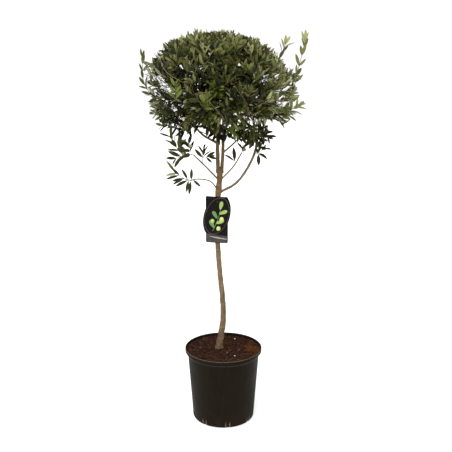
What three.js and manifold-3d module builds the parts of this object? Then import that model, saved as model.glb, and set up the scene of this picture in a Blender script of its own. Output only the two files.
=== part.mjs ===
// A young olive tree grown as a standard: a round crown on a clear stem, in a black
// nursery pot. Millimetres, +Z up. The origin is the middle of the pot's flat
// underside and the front of the tree faces -Y.

import * as THREE from "three";
import { mergeVertices } from "three/addons/utils/BufferGeometryUtils.js";
import Module from "manifold-3d";

const wasm = await Module();
wasm.setup();

// ---- Driving dimensions ----

const GAP = 0.3; // left between two pieces that touch
const CLEARANCE = 1; // left between foliage and everything that it doesn't grow on

const POT = {
  height: 270,
  rimRadius: 140,
  rimDepth: 13,
  collarRadius: 132.7,
  collarDepth: 8,
  shoulderRadius: 130,
  shoulderHeight: 244,
  footRadius: 112.8,
  footRound: 9,
  wall: 2.6,
  sides: 40,
};

const DRAIN = { count: 8, width: 11, height: 19, depth: 16, turn: THREE.MathUtils.degToRad(11.5) };

const SOIL = { edgeHeight: 260.5, topHeight: 262, flatRadius: 60 };

const TRUNK = {
  spine: [[-17, 9, 225], [-13, 9, 285], [-1, 9, 370], [-3, 6, 455], [-14, 4, 570], [-21, 2, 700],
    [-18, 0, 835], [-12, 0, 905], [-12, 0, 950]],
  forkHeight: 932,
  radius: 9,
  taper: { rise: 4.5, reach: 110 },
  flare: { rise: 3, reach: 12 },
  collar: { rise: 2.2, reach: 20, height: 852 },
  fork: { rise: 3, reach: 25 },
  sides: 12,
  steps: 24,
};

// The limbs. Each tapers from its foot to its tip through the points in `through`, and
// its foot is cut to a saddle on the limb named in `on`.
const LIMB = { sides: 7, step: 24 };

const LEADERS = {
  left_leader: {
    radii: [6.2, 3.4],
    through: [[-18.2, 0, 915], [-23, -5, 995], [-23, -9, 1040], [-26, -12, 1140], [-33, -13, 1225]],
  },
  right_leader: {
    radii: [5.5, 3.2],
    through: [[-5.6, 0, 915], [-0.5, 5, 995], [-1.5, 9, 1040], [5, 13, 1140], [24, 13, 1225]],
  },
};

const BOUGHS = {
  bough_right_low: {
    on: "trunk",
    radii: [4.4, 3.3],
    through: [[-14, -1, 846], [48, -6, 884], [103, -5, 972], [119, 0, 1040]],
  },
  twig_right: {
    on: "trunk",
    radii: [2.2, 1.7],
    through: [[-12, -3, 888], [37, -14, 943], [63, -20, 988]],
  },
  bough_left_low: {
    on: "trunk",
    radii: [2.9, 2],
    through: [[-15, -3, 890], [-53, -14, 932], [-84, -20, 964], [-101, -22, 981]],
  },
  twig_left: {
    on: "trunk",
    radii: [2, 1.5],
    through: [[-17, -4, 854], [-46, -16, 889], [-91, -26, 898], [-112, -30, 894]],
  },
  bough_right_high: {
    on: "right_leader",
    radii: [3, 2.4],
    through: [[-1, 4, 985], [30, -12, 1014], [51, -32, 1036], [78, -60, 1060]],
  },
  bough_left_high: {
    on: "left_leader",
    radii: [4, 3.2],
    through: [[-23, -8, 1022], [-62, -12, 1043], [-93, -10, 1071], [-120, -6, 1098]],
  },
  bough_front_left: {
    on: "left_leader",
    radii: [3.2, 2.6],
    through: [[-23, -9, 1040], [-38, -38, 1062], [-55, -72, 1095]],
  },
  bough_back_left: {
    on: "left_leader",
    radii: [3.2, 2.6],
    through: [[-24, -9, 1058], [-38, 32, 1072], [-52, 75, 1102]],
  },
  bough_back_right: {
    on: "right_leader",
    radii: [3.2, 2.6],
    through: [[0, 10, 1048], [26, 40, 1064], [55, 76, 1097]],
  },
};

// The crown's outer surface: round from above, with a steep dome over a boxier
// underside. The dome stands a little to the left. Twigs reach the surface from forks
// inside a dense core, which is open around the two leaders.
const CROWN = {
  middle: 1220,
  radius: 268,
  above: { reach: 194, power: 1.5 },
  below: { reach: 165, power: 3.2 },
  offset: { x: -26, from: 60 },
  rough: 0.07,
  tips: 80,
  bareBelow: -0.8,
  corePart: 0.5,
  forkPart: 0.44,
  heartPart: 0.6,
  columnRadius: 46,
  columnTop: 1234,
};

// The masses of foliage: six in a ring and two on top, each around its own middle, and
// the limb whose tip its stem meets.
const RING = {
  radius: 150,
  height: 1195,
  places: ["right", "back_right", "back_left", "left", "front_left", "front_right"],
  feeders: ["bough_right_low", "bough_back_right", "bough_back_left", "bough_left_high", "bough_front_left",
    "bough_right_high"],
};

const TOPS = [
  { name: "foliage_top_left", middle: [-88, -20, 1308], feeder: "left_leader" },
  { name: "foliage_top_right", middle: [66, 15, 1308], feeder: "right_leader" },
];

const LEAF = { length: 78, width: 23, thickness: 2.4, widestAt: 0.4, spread: 0.75, sink: 1, tries: 8 };
const TWIG = { foot: 2.6, tip: 1.3, sides: 3, step: 45, bow: 0.12, leavesFrom: 0.5 };
const YOUNG_LEAF_SCALE = 0.66;

// Young shoots that stand out of the crown, each grown from the mass named in `on`.
const SHOOTS = [
  {
    on: "foliage_right",
    pairs: 7,
    through: [[112, 0, 1195], [225, -8, 1128], [252, -10, 1190], [256, -10, 1260], [272, -10, 1385]],
  },
  {
    on: "foliage_right",
    pairs: 4,
    through: [[112, -8, 1195], [182, -25, 1255], [207, -25, 1320], [214, -25, 1388]],
  },
  {
    on: "foliage_left",
    pairs: 5,
    through: [[-112, -4, 1225], [-222, -25, 1172], [-262, -25, 1215], [-272, -25, 1312]],
  },
];

// Small low sprays, each a node of its own on the side or tip of a bare limb.
const SPRAYS = [
  {
    name: "spray_left_low",
    on: "bough_left_low",
    pairs: 5,
    through: [[-101, -22, 981], [-132, -26, 984], [-156, -28, 1000], [-178, -30, 1052]],
  },
  {
    name: "spray_left_mid",
    on: "bough_left_low",
    pairs: 3,
    through: [[-72, -18, 952], [-70, -34, 975], [-64, -40, 1022]],
  },
  {
    name: "spray_left_star",
    on: "twig_left",
    pairs: 5,
    through: [[-112, -30, 894], [-130, -34, 890], [-150, -38, 884], [-196, -42, 858]],
  },
  {
    name: "spray_right_mid",
    on: "twig_right",
    pairs: 3,
    through: [[63, -20, 988], [72, -24, 1004], [86, -28, 1040]],
  },
  {
    name: "spray_right_low",
    on: "bough_right_low",
    pairs: 3,
    through: [[106, -4, 980], [126, -18, 990], [166, -26, 1030]],
  },
];

const LABEL = {
  width: 78,
  height: 165,
  thickness: 0.8,
  middle: [-22.6, 751],
  oval: { long: 79, short: 45, lean: THREE.MathUtils.degToRad(-18), rise: 13, sides: 40 },
  strapHeight: 815,
  strapDepth: 3,
  strapThickness: 0.8,
  strapSides: 20,
};

const COLOURS = {
  bark: 0x857160, upperBark: 0x746758, pot: 0x27241e, soil: 0x4a2f20, label: 0x282220,
  foliage: [0x55593a, 0x4d5136, 0x5c6140, 0x494c33], youngLeaf: 0x77934a,
};

// ---- Solids ----

/** A repeatable random source: each call gives the next number from 0 to 1. */
function seededRandom(seed) {
  let state = seed;
  return () => {
    state = (state + 0x6d2b79f5) | 0;
    let mixed = Math.imul(state ^ (state >>> 15), 1 | state);
    mixed = (mixed + Math.imul(mixed ^ (mixed >>> 7), 61 | mixed)) ^ mixed;
    return ((mixed ^ (mixed >>> 14)) >>> 0) / 2 ** 32;
  };
}

/** The solid inside a closed three.js geometry. */
function toSolid(geometry) {
  geometry.deleteAttribute("normal");
  geometry.deleteAttribute("uv");
  const merged = mergeVertices(geometry);
  return new wasm.Manifold(new wasm.Mesh({
    numProp: 3,
    vertProperties: new Float32Array(merged.attributes.position.array),
    triVerts: new Uint32Array(merged.index.array),
  }));
}

/** A named mesh of one solid, with its own material. */
function toMesh(name, solid, color, roughness) {
  const { vertProperties, triVerts } = solid.getMesh();
  const geometry = new THREE.BufferGeometry();
  geometry.setAttribute("position", new THREE.BufferAttribute(vertProperties, 3));
  geometry.setIndex(new THREE.BufferAttribute(triVerts, 1));
  geometry.computeVertexNormals();
  const mesh = new THREE.Mesh(geometry, new THREE.MeshStandardMaterial({ color, roughness, metalness: 0 }));
  mesh.name = name;
  return mesh;
}

/** Pieces joined into one body, without any scrap that none of them holds. */
function fuse(pieces) {
  const bodies = pieces.reduce((whole, piece) => whole.add(piece)).decompose();
  return bodies.reduce((best, body) => (body.volume() > best.volume() ? body : best));
}

/** A solid turned about Z, from a profile of radii and heights that closes or ends on the axis. */
function turned(profile, sides) {
  const points = profile.map(([radius, height]) => new THREE.Vector2(radius, height));
  return toSolid(new THREE.LatheGeometry(points, sides).rotateX(Math.PI / 2));
}

/** A smooth curve through points. */
function curveThrough(points) {
  return new THREE.CatmullRomCurve3(points.map((point) => new THREE.Vector3(...point)), false, "centripetal");
}

/**
 * A closed limb along a curve: a cylinder whose rings are moved onto the curve.
 * radiusAt(t, point) gives the radius a part t of the way along, at that point.
 */
function limbSolid(curve, radiusAt, sides, steps) {
  const frames = curve.computeFrenetFrames(steps);
  const geometry = new THREE.CylinderGeometry(1, 1, 1, sides, steps);
  const position = geometry.attributes.position;
  for (let i = 0; i < position.count; i++) {
    const t = position.getY(i) + 0.5;
    const ring = Math.round(t * steps);
    const point = curve.getPointAt(t);
    const radius = radiusAt(t, point);
    point.addScaledVector(frames.binormals[ring], position.getX(i) * radius);
    point.addScaledVector(frames.normals[ring], position.getZ(i) * radius);
    position.setXYZ(i, point.x, point.y, point.z);
  }
  return toSolid(geometry);
}

// ---- Pot and soil ----

/** The lower outline of the pot or of what fills it, a given distance inside its outer face. */
function vesselOutline(inset) {
  const round = POT.footRound - inset;
  const centre = POT.footRadius - POT.footRound;
  const corner = [-90, -45, 0].map(THREE.MathUtils.degToRad);
  const around = (angle) => [centre + round * Math.cos(angle), POT.footRound + round * Math.sin(angle)];
  return [[0, inset], ...corner.map(around)];
}

/** The pot: a flared wall with a collar and a lip, open at the top, with slots round its foot. */
function makePot() {
  const rimFoot = POT.height - POT.rimDepth;
  const collarFoot = rimFoot - POT.collarDepth;
  const outside = [
    ...vesselOutline(0),
    [POT.shoulderRadius, POT.shoulderHeight],
    [POT.collarRadius, collarFoot],
    [POT.collarRadius, rimFoot],
    [POT.rimRadius, rimFoot],
    [POT.rimRadius, POT.height],
  ];
  const inside = [
    ...vesselOutline(POT.wall),
    [POT.shoulderRadius - POT.wall, POT.shoulderHeight],
    [POT.collarRadius - POT.wall, collarFoot + POT.wall],
    [POT.collarRadius - POT.wall, rimFoot + POT.wall],
    [POT.rimRadius - POT.wall, rimFoot + POT.wall],
    [POT.rimRadius - POT.wall, POT.height],
  ];
  let pot = turned([...outside, ...inside.reverse()], POT.sides);
  for (let i = 0; i < DRAIN.count; i++) {
    const slot = new THREE.BoxGeometry(DRAIN.width, DRAIN.depth, 2 * DRAIN.height);
    slot.translate(0, -POT.footRadius, 0);
    slot.rotateZ(DRAIN.turn + (i * 2 * Math.PI) / DRAIN.count);
    pot = pot.subtract(toSolid(slot));
  }
  return pot;
}

/** The soil that fills the pot up to its rim, flat under the trunk and a little lower at the wall. */
function makeSoil() {
  const inset = POT.wall + GAP;
  const ledge = POT.height - POT.rimDepth + inset;
  const profile = [
    ...vesselOutline(inset),
    [POT.shoulderRadius - inset, POT.shoulderHeight],
    [POT.collarRadius - inset, POT.height - POT.rimDepth - POT.collarDepth + POT.wall],
    [POT.collarRadius - inset, ledge],
    [POT.rimRadius - inset, ledge],
    [POT.rimRadius - inset, SOIL.edgeHeight],
    [SOIL.flatRadius, SOIL.topHeight],
    [0, SOIL.topHeight],
  ];
  return turned(profile, POT.sides);
}

// ---- Trunk and boughs ----

/** The trunk's radius at a height: a taper, a root flare, a collar of old pruning and the fork. */
function trunkRadius(height) {
  const above = Math.max(height - SOIL.topHeight, 0);
  const belowFork = Math.max(TRUNK.forkHeight - height, 0);
  const taper = TRUNK.radius + TRUNK.taper.rise * Math.exp(-above / TRUNK.taper.reach);
  const flare = TRUNK.flare.rise * Math.exp(-above / TRUNK.flare.reach);
  const collar = TRUNK.collar.rise * Math.exp(-(((height - TRUNK.collar.height) / TRUNK.collar.reach) ** 2));
  const fork = TRUNK.fork.rise * Math.exp(-belowFork / TRUNK.fork.reach);
  return taper + flare + collar + fork;
}

/** The middle of the trunk at a height. */
function trunkCentre(height) {
  const curve = curveThrough(TRUNK.spine);
  let [low, high] = [0, 1];
  for (let i = 0; i < 20; i++) {
    const half = (low + high) / 2;
    [low, high] = curve.getPointAt(half).z < height ? [half, high] : [low, half];
  }
  return curve.getPointAt(low);
}

/** The trunk, grown by `swell` all round, cut flat at the soil and at the fork. */
function makeTrunk(swell = 0) {
  const curve = curveThrough(TRUNK.spine);
  return limbSolid(curve, (t, point) => trunkRadius(point.z) + swell, TRUNK.sides, TRUNK.steps)
    .trimByPlane([0, 0, 1], SOIL.topHeight + GAP)
    .trimByPlane([0, 0, -1], -TRUNK.forkHeight);
}

/** One tapering limb, grown by `swell` all round. */
function makeLimb({ through, radii }, swell = 0) {
  const curve = curveThrough(through);
  const steps = Math.ceil(curve.getLength() / LIMB.step);
  return limbSolid(curve, (t) => THREE.MathUtils.lerp(...radii, t) + swell, LIMB.sides, steps);
}

/** A leader, cut flat where it stands on the trunk's fork. */
function makeLeader(leader, swell = 0) {
  return makeLimb(leader, swell).trimByPlane([0, 0, 1], TRUNK.forkHeight + GAP - swell);
}

/** A limb as it stands, or grown all round so that a neighbour can be cut clear of it. */
function namedLimb(name, swell = 0) {
  if (name === "trunk") return makeTrunk(swell);
  return name in LEADERS ? makeLeader(LEADERS[name], swell) : makeLimb(BOUGHS[name], swell);
}

/** A bough whose foot is cut to a saddle around the limb that carries it. */
function makeBough(bough) {
  return fuse([makeLimb(bough).subtract(namedLimb(bough.on, GAP))]);
}

// ---- Leaves and twigs ----

/** A slim leaf with a thick middle and sharp edges, from its root along a direction. */
function leafSolid(root, direction, roll, scale) {
  const length = LEAF.length * scale;
  const geometry = new THREE.OctahedronGeometry(1);
  geometry.scale((LEAF.width / 2) * scale, length / 2, LEAF.thickness / 2);
  geometry.translate(0, length / 2, 0);
  const position = geometry.attributes.position;
  for (let i = 0; i < position.count; i++) {
    if (position.getY(i) === length / 2) position.setY(i, length * LEAF.widestAt);
  }
  const along = direction.clone().normalize();
  const across = new THREE.Vector3(0, 0, 1).cross(along).normalize().applyAxisAngle(along, roll);
  const facing = across.clone().cross(along);
  geometry.applyMatrix4(new THREE.Matrix4().makeBasis(across, along, facing).setPosition(root));
  return toSolid(geometry);
}

/** A leaf that is turned about an axis until `fits` accepts it, or nothing if it never does. */
function fittingLeaf(root, direction, axis, scale, random, fits) {
  for (let i = 0; i < LEAF.tries; i++) {
    const turn = (i % 2 ? -0.4 : 0.4) * Math.ceil(i / 2);
    const along = direction.clone().applyAxisAngle(axis, turn);
    const foot = root.clone().addScaledVector(along, -LEAF.sink);
    const leaf = leafSolid(foot, along, (random() - 0.5) * 0.9, scale);
    if (fits(leaf)) return [leaf];
  }
  return [];
}

/** A leafy twig along a curve: crossed pairs of leaves, and one leaf that reaches its end. */
function leafyTwig(curve, { pairs, largest, random, fits }) {
  const length = curve.getLength();
  const scale = Math.min(largest, length / (1.8 * LEAF.length));
  const woodLength = length - LEAF.length * scale;
  const woodPoints = [0, 0.35, 0.7, 1].map((part) => curve.getPointAt((part * woodLength) / length));
  const woodCurve = new THREE.CatmullRomCurve3(woodPoints);
  const steps = Math.max(1, Math.round(woodLength / TWIG.step));
  const wood = limbSolid(woodCurve, (t) => THREE.MathUtils.lerp(TWIG.foot, TWIG.tip, t), TWIG.sides, steps);
  if (!fits(wood)) return [];
  const pieces = [wood];
  let turn = random() * Math.PI;
  for (let pair = 0; pair < pairs; pair++) {
    const part = THREE.MathUtils.lerp(TWIG.leavesFrom, 0.97, pair / (pairs - 1));
    const axis = woodCurve.getTangentAt(part);
    const out = new THREE.Vector3(0.3, 0.2, 1).cross(axis).normalize().applyAxisAngle(axis, turn);
    for (const side of [LEAF.spread, -LEAF.spread]) {
      const direction = axis.clone().multiplyScalar(Math.cos(side)).addScaledVector(out, Math.sin(side));
      const size = scale * (0.8 + 0.2 * random());
      pieces.push(...fittingLeaf(woodCurve.getPointAt(part), direction, axis, size, random, fits));
    }
    turn += Math.PI / 2 + (random() - 0.5) * 0.6;
  }
  const tip = woodCurve.getPointAt(1);
  const last = curve.getPointAt(1).sub(tip).normalize();
  pieces.push(...fittingLeaf(tip, last, last, scale, random, fits));
  return pieces;
}

/** A young shoot or a low spray: a leafy twig that bends through its points. */
function makeShoot({ through, pairs }, seed) {
  const options = { pairs, largest: YOUNG_LEAF_SCALE, random: seededRandom(seed), fits: () => true };
  return fuse(leafyTwig(curveThrough(through), options));
}

/** A spray, cut clear of the limb that carries it. */
function makeSpray(spray, seed) {
  const tip = curveThrough(BOUGHS[spray.on].through);
  const onTip = tip.getPointAt(1).distanceTo(new THREE.Vector3(...spray.through[0])) < 1;
  const whole = makeShoot(spray, seed).subtract(namedLimb(spray.on, GAP));
  if (!onTip) return fuse([whole]);
  const along = tip.getTangentAt(1);
  return fuse([whole.trimByPlane(along.toArray(), along.dot(tip.getPointAt(1)) + GAP)]);
}

// ---- Masses of foliage ----

/** The middle of the crown, from which its twigs spread. */
function crownMiddle() {
  return new THREE.Vector3(0, 0, CROWN.middle);
}

/** A point of the crown's outer surface in a given direction: a superellipse turned about Z. */
function crownPoint(direction) {
  const { reach, power } = direction.z > 0 ? CROWN.above : CROWN.below;
  const across = Math.max(Math.hypot(direction.x, direction.y), 1e-6);
  const radius = (CROWN.radius * across ** (2 / power)) / across;
  const rise = Math.sign(direction.z) * reach * Math.abs(direction.z) ** (2 / power);
  const offset = CROWN.offset.x * THREE.MathUtils.clamp(rise / CROWN.offset.from, 0, 1);
  return new THREE.Vector3(radius * direction.x + offset, radius * direction.y, CROWN.middle + rise);
}

/** Points spread evenly over the crown's outer surface, without its bare middle below. */
function crownTips() {
  const golden = Math.PI * (3 - Math.sqrt(5));
  return Array.from({ length: CROWN.tips }, (_, i) => {
    const height = 1 - (2 * i + 1) / CROWN.tips;
    const across = Math.sqrt(1 - height ** 2);
    return new THREE.Vector3(across * Math.cos(i * golden), across * Math.sin(i * golden), height);
  }).filter((direction) => direction.z > CROWN.bareBelow).map(crownPoint);
}

/** The masses: six in a ring, right first, and two on top. */
function listMasses() {
  const ring = RING.places.map((place, i) => {
    const turn = (i * Math.PI) / 3;
    const middle = new THREE.Vector3(RING.radius * Math.cos(turn), RING.radius * Math.sin(turn), RING.height);
    return { name: `foliage_${place}`, middle, feeder: RING.feeders[i] };
  });
  return [...ring, ...TOPS.map((top) => ({ ...top, middle: new THREE.Vector3(...top.middle) }))];
}

/** The planes around a mass's own space, halfway to each other mass and a little inside. */
function borders(mass, masses) {
  return masses.filter((other) => other !== mass).map((other) => {
    const across = mass.middle.clone().sub(other.middle).normalize();
    const halfway = mass.middle.clone().add(other.middle).multiplyScalar(0.5);
    return { across, offset: halfway.dot(across) + CLEARANCE / 2 };
  });
}

/** True where every corner of a solid lies in a mass's own space. */
function inOwnSpace(solid, mass, masses) {
  const { vertProperties } = solid.getMesh();
  const point = new THREE.Vector3();
  return borders(mass, masses).every(({ across, offset }) => {
    for (let i = 0; i < vertProperties.length; i += 3) {
      if (point.fromArray(vertProperties, i).dot(across) < offset) return false;
    }
    return true;
  });
}

/** A mass's stem, from just past its limb's tip into the heart of the mass. */
function massStem(mass) {
  const feeder = LEADERS[mass.feeder] ?? BOUGHS[mass.feeder];
  const limb = curveThrough(feeder.through);
  const heart = crownMiddle().lerp(mass.middle, CROWN.heartPart);
  const foot = limb.getPointAt(1).addScaledVector(limb.getTangentAt(1), GAP);
  const bend = foot.clone().addScaledVector(limb.getTangentAt(1), foot.distanceTo(heart) / 3);
  const curve = new THREE.QuadraticBezierCurve3(foot, bend, heart);
  return limbSolid(curve, (t) => feeder.radii[1] * (1 - 0.2 * t), 6, 4);
}

/** The dense inside of a mass: its share of a smaller crown, open around the two leaders. */
function massCore(mass, masses) {
  const ball = new THREE.IcosahedronGeometry(1, 2);
  const position = ball.attributes.position;
  const direction = new THREE.Vector3();
  for (let i = 0; i < position.count; i++) {
    direction.fromBufferAttribute(position, i);
    position.setXYZ(i, ...crownMiddle().lerp(crownPoint(direction), CROWN.corePart).toArray());
  }
  const depth = CROWN.below.reach;
  const column = new THREE.CylinderGeometry(CROWN.columnRadius, CROWN.columnRadius, 2 * depth, 12);
  column.rotateX(Math.PI / 2).translate(0, 0, CROWN.columnTop - depth);
  let core = toSolid(ball).subtract(toSolid(column));
  for (const { across, offset } of borders(mass, masses)) {
    core = core.trimByPlane(across.toArray(), offset);
  }
  return core;
}

/** One mass of foliage: stem, core and leafy twigs that rise from it to the crown's surface. */
function makeMass(mass, masses, obstacles, seed) {
  const random = seededRandom(seed);
  const nearest = (tip) => masses.reduce((best, other) => (
    tip.distanceTo(other.middle) < tip.distanceTo(best.middle) ? other : best));
  const fits = (piece) => inOwnSpace(piece, mass, masses)
    && obstacles.every((obstacle) => piece.minGap(obstacle, CLEARANCE) >= CLEARANCE);
  const pieces = [massCore(mass, masses), massStem(mass)];
  for (const tip of crownTips().filter((point) => nearest(point) === mass)) {
    const fork = crownMiddle().lerp(tip, CROWN.forkPart);
    tip.lerp(fork, CROWN.rough * random());
    const bend = fork.clone().lerp(tip, 0.5);
    bend.z -= TWIG.bow * fork.distanceTo(tip);
    const curve = new THREE.QuadraticBezierCurve3(fork, bend, tip);
    pieces.push(...leafyTwig(curve, { pairs: 2, largest: 1, random, fits }));
  }
  return fuse(pieces);
}

// ---- Label ----

/** The hanging label: a plain card with an oval bulge, cut clear of the strap that holds it. */
function makeLabel() {
  const [x, z] = LABEL.middle;
  const { oval } = LABEL;
  const card = new THREE.BoxGeometry(LABEL.width, LABEL.height, LABEL.thickness);
  const bulge = new THREE.CylinderGeometry(1, 1, LABEL.thickness, oval.sides).rotateX(Math.PI / 2);
  bulge.scale(oval.short, oval.long, 1).rotateZ(oval.lean).translate(0, oval.rise, 0);
  const strip = new THREE.BoxGeometry(4 * LABEL.width, LABEL.height, 2 * LABEL.thickness);
  return toSolid(card).add(toSolid(bulge).intersect(toSolid(strip)))
    .rotate([90, 0, 0])
    .translate([x, cardBack() - LABEL.thickness / 2, z])
    .subtract(makeStrap(GAP));
}

/** Where the card's back lies: just clear of the trunk's foremost point behind it. */
function cardBack() {
  const [, middle] = LABEL.middle;
  const fronts = [-0.5, -0.25, 0, 0.25, 0.5].map((part) => {
    const height = middle + part * LABEL.height;
    return trunkCentre(height).y - trunkRadius(height);
  });
  return Math.min(...fronts) - GAP;
}

/** The strap: a thin ring that holds the card against the trunk, grown by `swell`. */
function makeStrap(swell = 0) {
  const trunk = trunkCentre(LABEL.strapHeight);
  const back = trunk.y + trunkRadius(LABEL.strapHeight) + GAP;
  const front = cardBack() - LABEL.thickness - GAP;
  const inner = (back - front) / 2 - swell;
  const outer = (back - front) / 2 + LABEL.strapThickness + swell;
  const half = LABEL.strapDepth / 2 + swell;
  const corners = [[inner, -half], [outer, -half], [outer, half], [inner, half], [inner, -half]];
  return turned(corners, LABEL.strapSides).translate([trunk.x, (back + front) / 2, LABEL.strapHeight]);
}

// ---- The whole tree ----

const tree = new THREE.Group();
tree.name = "potted_olive_tree";

function addPiece(name, solid, color, roughness) {
  tree.add(toMesh(name, solid, color, roughness));
  return solid;
}

addPiece("pot", makePot(), COLOURS.pot, 0.6);
addPiece("soil", makeSoil(), COLOURS.soil, 0.95);

const limbs = [addPiece("trunk", makeTrunk(), COLOURS.bark, 0.85)];
for (const [name, leader] of Object.entries(LEADERS)) {
  limbs.push(addPiece(name, makeLeader(leader), COLOURS.upperBark, 0.8));
}
for (const [name, bough] of Object.entries(BOUGHS)) {
  limbs.push(addPiece(name, makeBough(bough), COLOURS.upperBark, 0.8));
}

const sprays = SPRAYS.map((spray, i) => makeSpray(spray, 40 + i));
SPRAYS.forEach(({ name }, i) => addPiece(name, sprays[i], COLOURS.youngLeaf, 0.6));

const shoots = SHOOTS.map((shoot, i) => ({ on: shoot.on, solid: makeShoot(shoot, 60 + i) }));
const masses = listMasses();
masses.forEach((mass, i) => {
  const others = shoots.filter(({ on }) => on !== mass.name).map(({ solid }) => solid);
  const foliage = makeMass(mass, masses, [...limbs, ...sprays, ...others], 1 + i);
  const own = shoots.filter(({ on }) => on === mass.name).map(({ solid }) => solid);
  addPiece(mass.name, fuse([foliage, ...own]), COLOURS.foliage[i % COLOURS.foliage.length], 0.6);
});

addPiece("label_card", makeLabel(), COLOURS.label, 0.35);
addPiece("label_strap", makeStrap(), COLOURS.label, 0.5);

export default tree;
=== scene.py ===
"""The looks of a potted olive tree: a round crown on a clear stem, in a black nursery pot.

Metres, +Z up. The origin is the middle of the pot's flat underside and the front of the tree
faces -Y. Sizes that the tree's construction shares are written in millimetres times MM.
"""

import logging
import math
from collections.abc import Callable
from dataclasses import dataclass
from enum import Enum
from typing import NamedTuple

import bpy
import numpy as np
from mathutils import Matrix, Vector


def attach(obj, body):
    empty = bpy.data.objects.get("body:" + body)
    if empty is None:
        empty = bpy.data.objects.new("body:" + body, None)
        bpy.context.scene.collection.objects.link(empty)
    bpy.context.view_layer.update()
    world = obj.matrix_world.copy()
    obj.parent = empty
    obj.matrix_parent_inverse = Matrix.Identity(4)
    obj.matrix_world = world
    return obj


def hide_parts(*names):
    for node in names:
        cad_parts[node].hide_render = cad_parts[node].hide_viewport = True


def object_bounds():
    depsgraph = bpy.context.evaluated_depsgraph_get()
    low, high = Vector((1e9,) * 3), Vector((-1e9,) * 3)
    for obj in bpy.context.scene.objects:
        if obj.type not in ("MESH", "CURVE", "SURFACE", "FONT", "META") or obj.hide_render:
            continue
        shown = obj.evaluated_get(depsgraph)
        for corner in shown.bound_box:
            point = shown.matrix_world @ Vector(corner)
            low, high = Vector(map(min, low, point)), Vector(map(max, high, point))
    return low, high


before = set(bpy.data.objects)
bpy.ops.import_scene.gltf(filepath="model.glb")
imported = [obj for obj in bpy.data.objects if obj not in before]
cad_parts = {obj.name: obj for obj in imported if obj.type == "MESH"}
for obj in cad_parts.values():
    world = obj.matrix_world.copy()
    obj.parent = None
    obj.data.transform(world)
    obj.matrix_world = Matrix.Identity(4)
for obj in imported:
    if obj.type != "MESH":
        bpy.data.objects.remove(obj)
CAD_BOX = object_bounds()

Array = np.ndarray
Colour = tuple[int, int, int]
Pair = tuple[float, float]
Point = tuple[float, float, float]
Random = np.random.Generator
Material, Object = bpy.types.Material, bpy.types.Object
Node, NodeTree, Socket = bpy.types.Node, bpy.types.NodeTree, bpy.types.NodeSocket
MM = 0.001
UP = np.array([0.0, 0.0, 1.0])
FRONT = np.array([0.0, -1.0, 0.0])
GOLDEN = math.pi * (3 - math.sqrt(5))
LOG = logging.getLogger("olive_tree")


# ---- Vectors and curves ----


def unit(vectors: Array) -> Array:
    """Each vector divided by its length."""
    return vectors / np.maximum(np.linalg.norm(vectors, axis=-1, keepdims=True), 1e-12)


def blend(a: Array, b: Array, part: Array) -> Array:
    """The point a given part of the way from a to b."""
    return a + (b - a) * part


def ramp(value: Array, start: float, span: float) -> Array:
    """0 up to the start and 1 from a span further on, with a straight rise between."""
    return np.clip((value - start) / span, 0, 1)


def around(count: int) -> Array:
    """Equal steps round a circle, in radians."""
    return math.tau * np.arange(count) / count


def rows_of(*parts: Array) -> Array:
    """Rows of coordinates from one array for each coordinate."""
    return np.stack(parts, axis=1)


def compass(turn: Array, rise: Array) -> Array:
    """Vectors that point level along angles about Z, with a rise added."""
    return rows_of(np.cos(turn), np.sin(turn), rise)


def square_to(vectors: Array, axes: Array) -> Array:
    """What is left of each vector when its share along a unit axis is taken away, made unit."""
    return unit(vectors - (vectors * axes).sum(-1, keepdims=True) * axes)


def turn_about(vectors: Array, axes: Array, angles: Array) -> Array:
    """Vectors square to unit axes, turned by angles: v cos(a) + (axis x v) sin(a)."""
    angles = np.asarray(angles)[..., None]
    return vectors * np.cos(angles) + np.cross(axes, vectors) * np.sin(angles)


def evenly(points: Array, count: int) -> Array:
    """Points spread evenly along the length of a broken line."""
    steps = np.linalg.norm(np.diff(points, axis=0), axis=1)
    reached = np.concatenate([[0.0], np.cumsum(steps)])
    wanted = np.linspace(0.0, reached[-1], count)
    return rows_of(*(np.interp(wanted, reached, points[:, i]) for i in range(3)))


def smooth_path(through: Array, count: int) -> Array:
    """Points evenly along a centripetal Catmull-Rom curve through the given points.

    From p1 to p2 the curve is the cubic that starts and ends there with the tangents
    b((p1-p0)/a - (p2-p0)/(a+b) + (p2-p1)/b) and b((p2-p1)/b - (p3-p1)/(b+c) + (p3-p2)/c),
    where a, b and c are the square roots of the three distances.

    Args:
        through: the points that the curve passes, (n, 3).
        count: how many points to return.

    Returns:
        The points, (count, 3).
    """
    through = np.asarray(through, float)
    row = np.vstack([2 * through[0] - through[1], through, 2 * through[-1] - through[-2]])
    p0, p1, p2, p3 = row[:-3], row[1:-2], row[2:-1], row[3:]
    a, b, c = (
        np.sqrt(np.linalg.norm(q - p, axis=1, keepdims=True)) for p, q in ((p0, p1), (p1, p2), (p2, p3))
    )
    leaving = b * ((p1 - p0) / a - (p2 - p0) / (a + b) + (p2 - p1) / b)
    arriving = b * ((p2 - p1) / b - (p3 - p1) / (b + c) + (p3 - p2) / c)
    t = np.linspace(0, 1, 41)[:-1, None, None]
    curve = (
        (2 * t**3 - 3 * t**2 + 1) * p1
        + (t**3 - 2 * t**2 + t) * leaving
        + (3 * t**2 - 2 * t**3) * p2
        + (t**3 - t**2) * arriving
    )
    curve = curve.transpose(1, 0, 2).reshape(-1, 3)
    return evenly(np.vstack([curve, through[-1]]), count)


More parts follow.
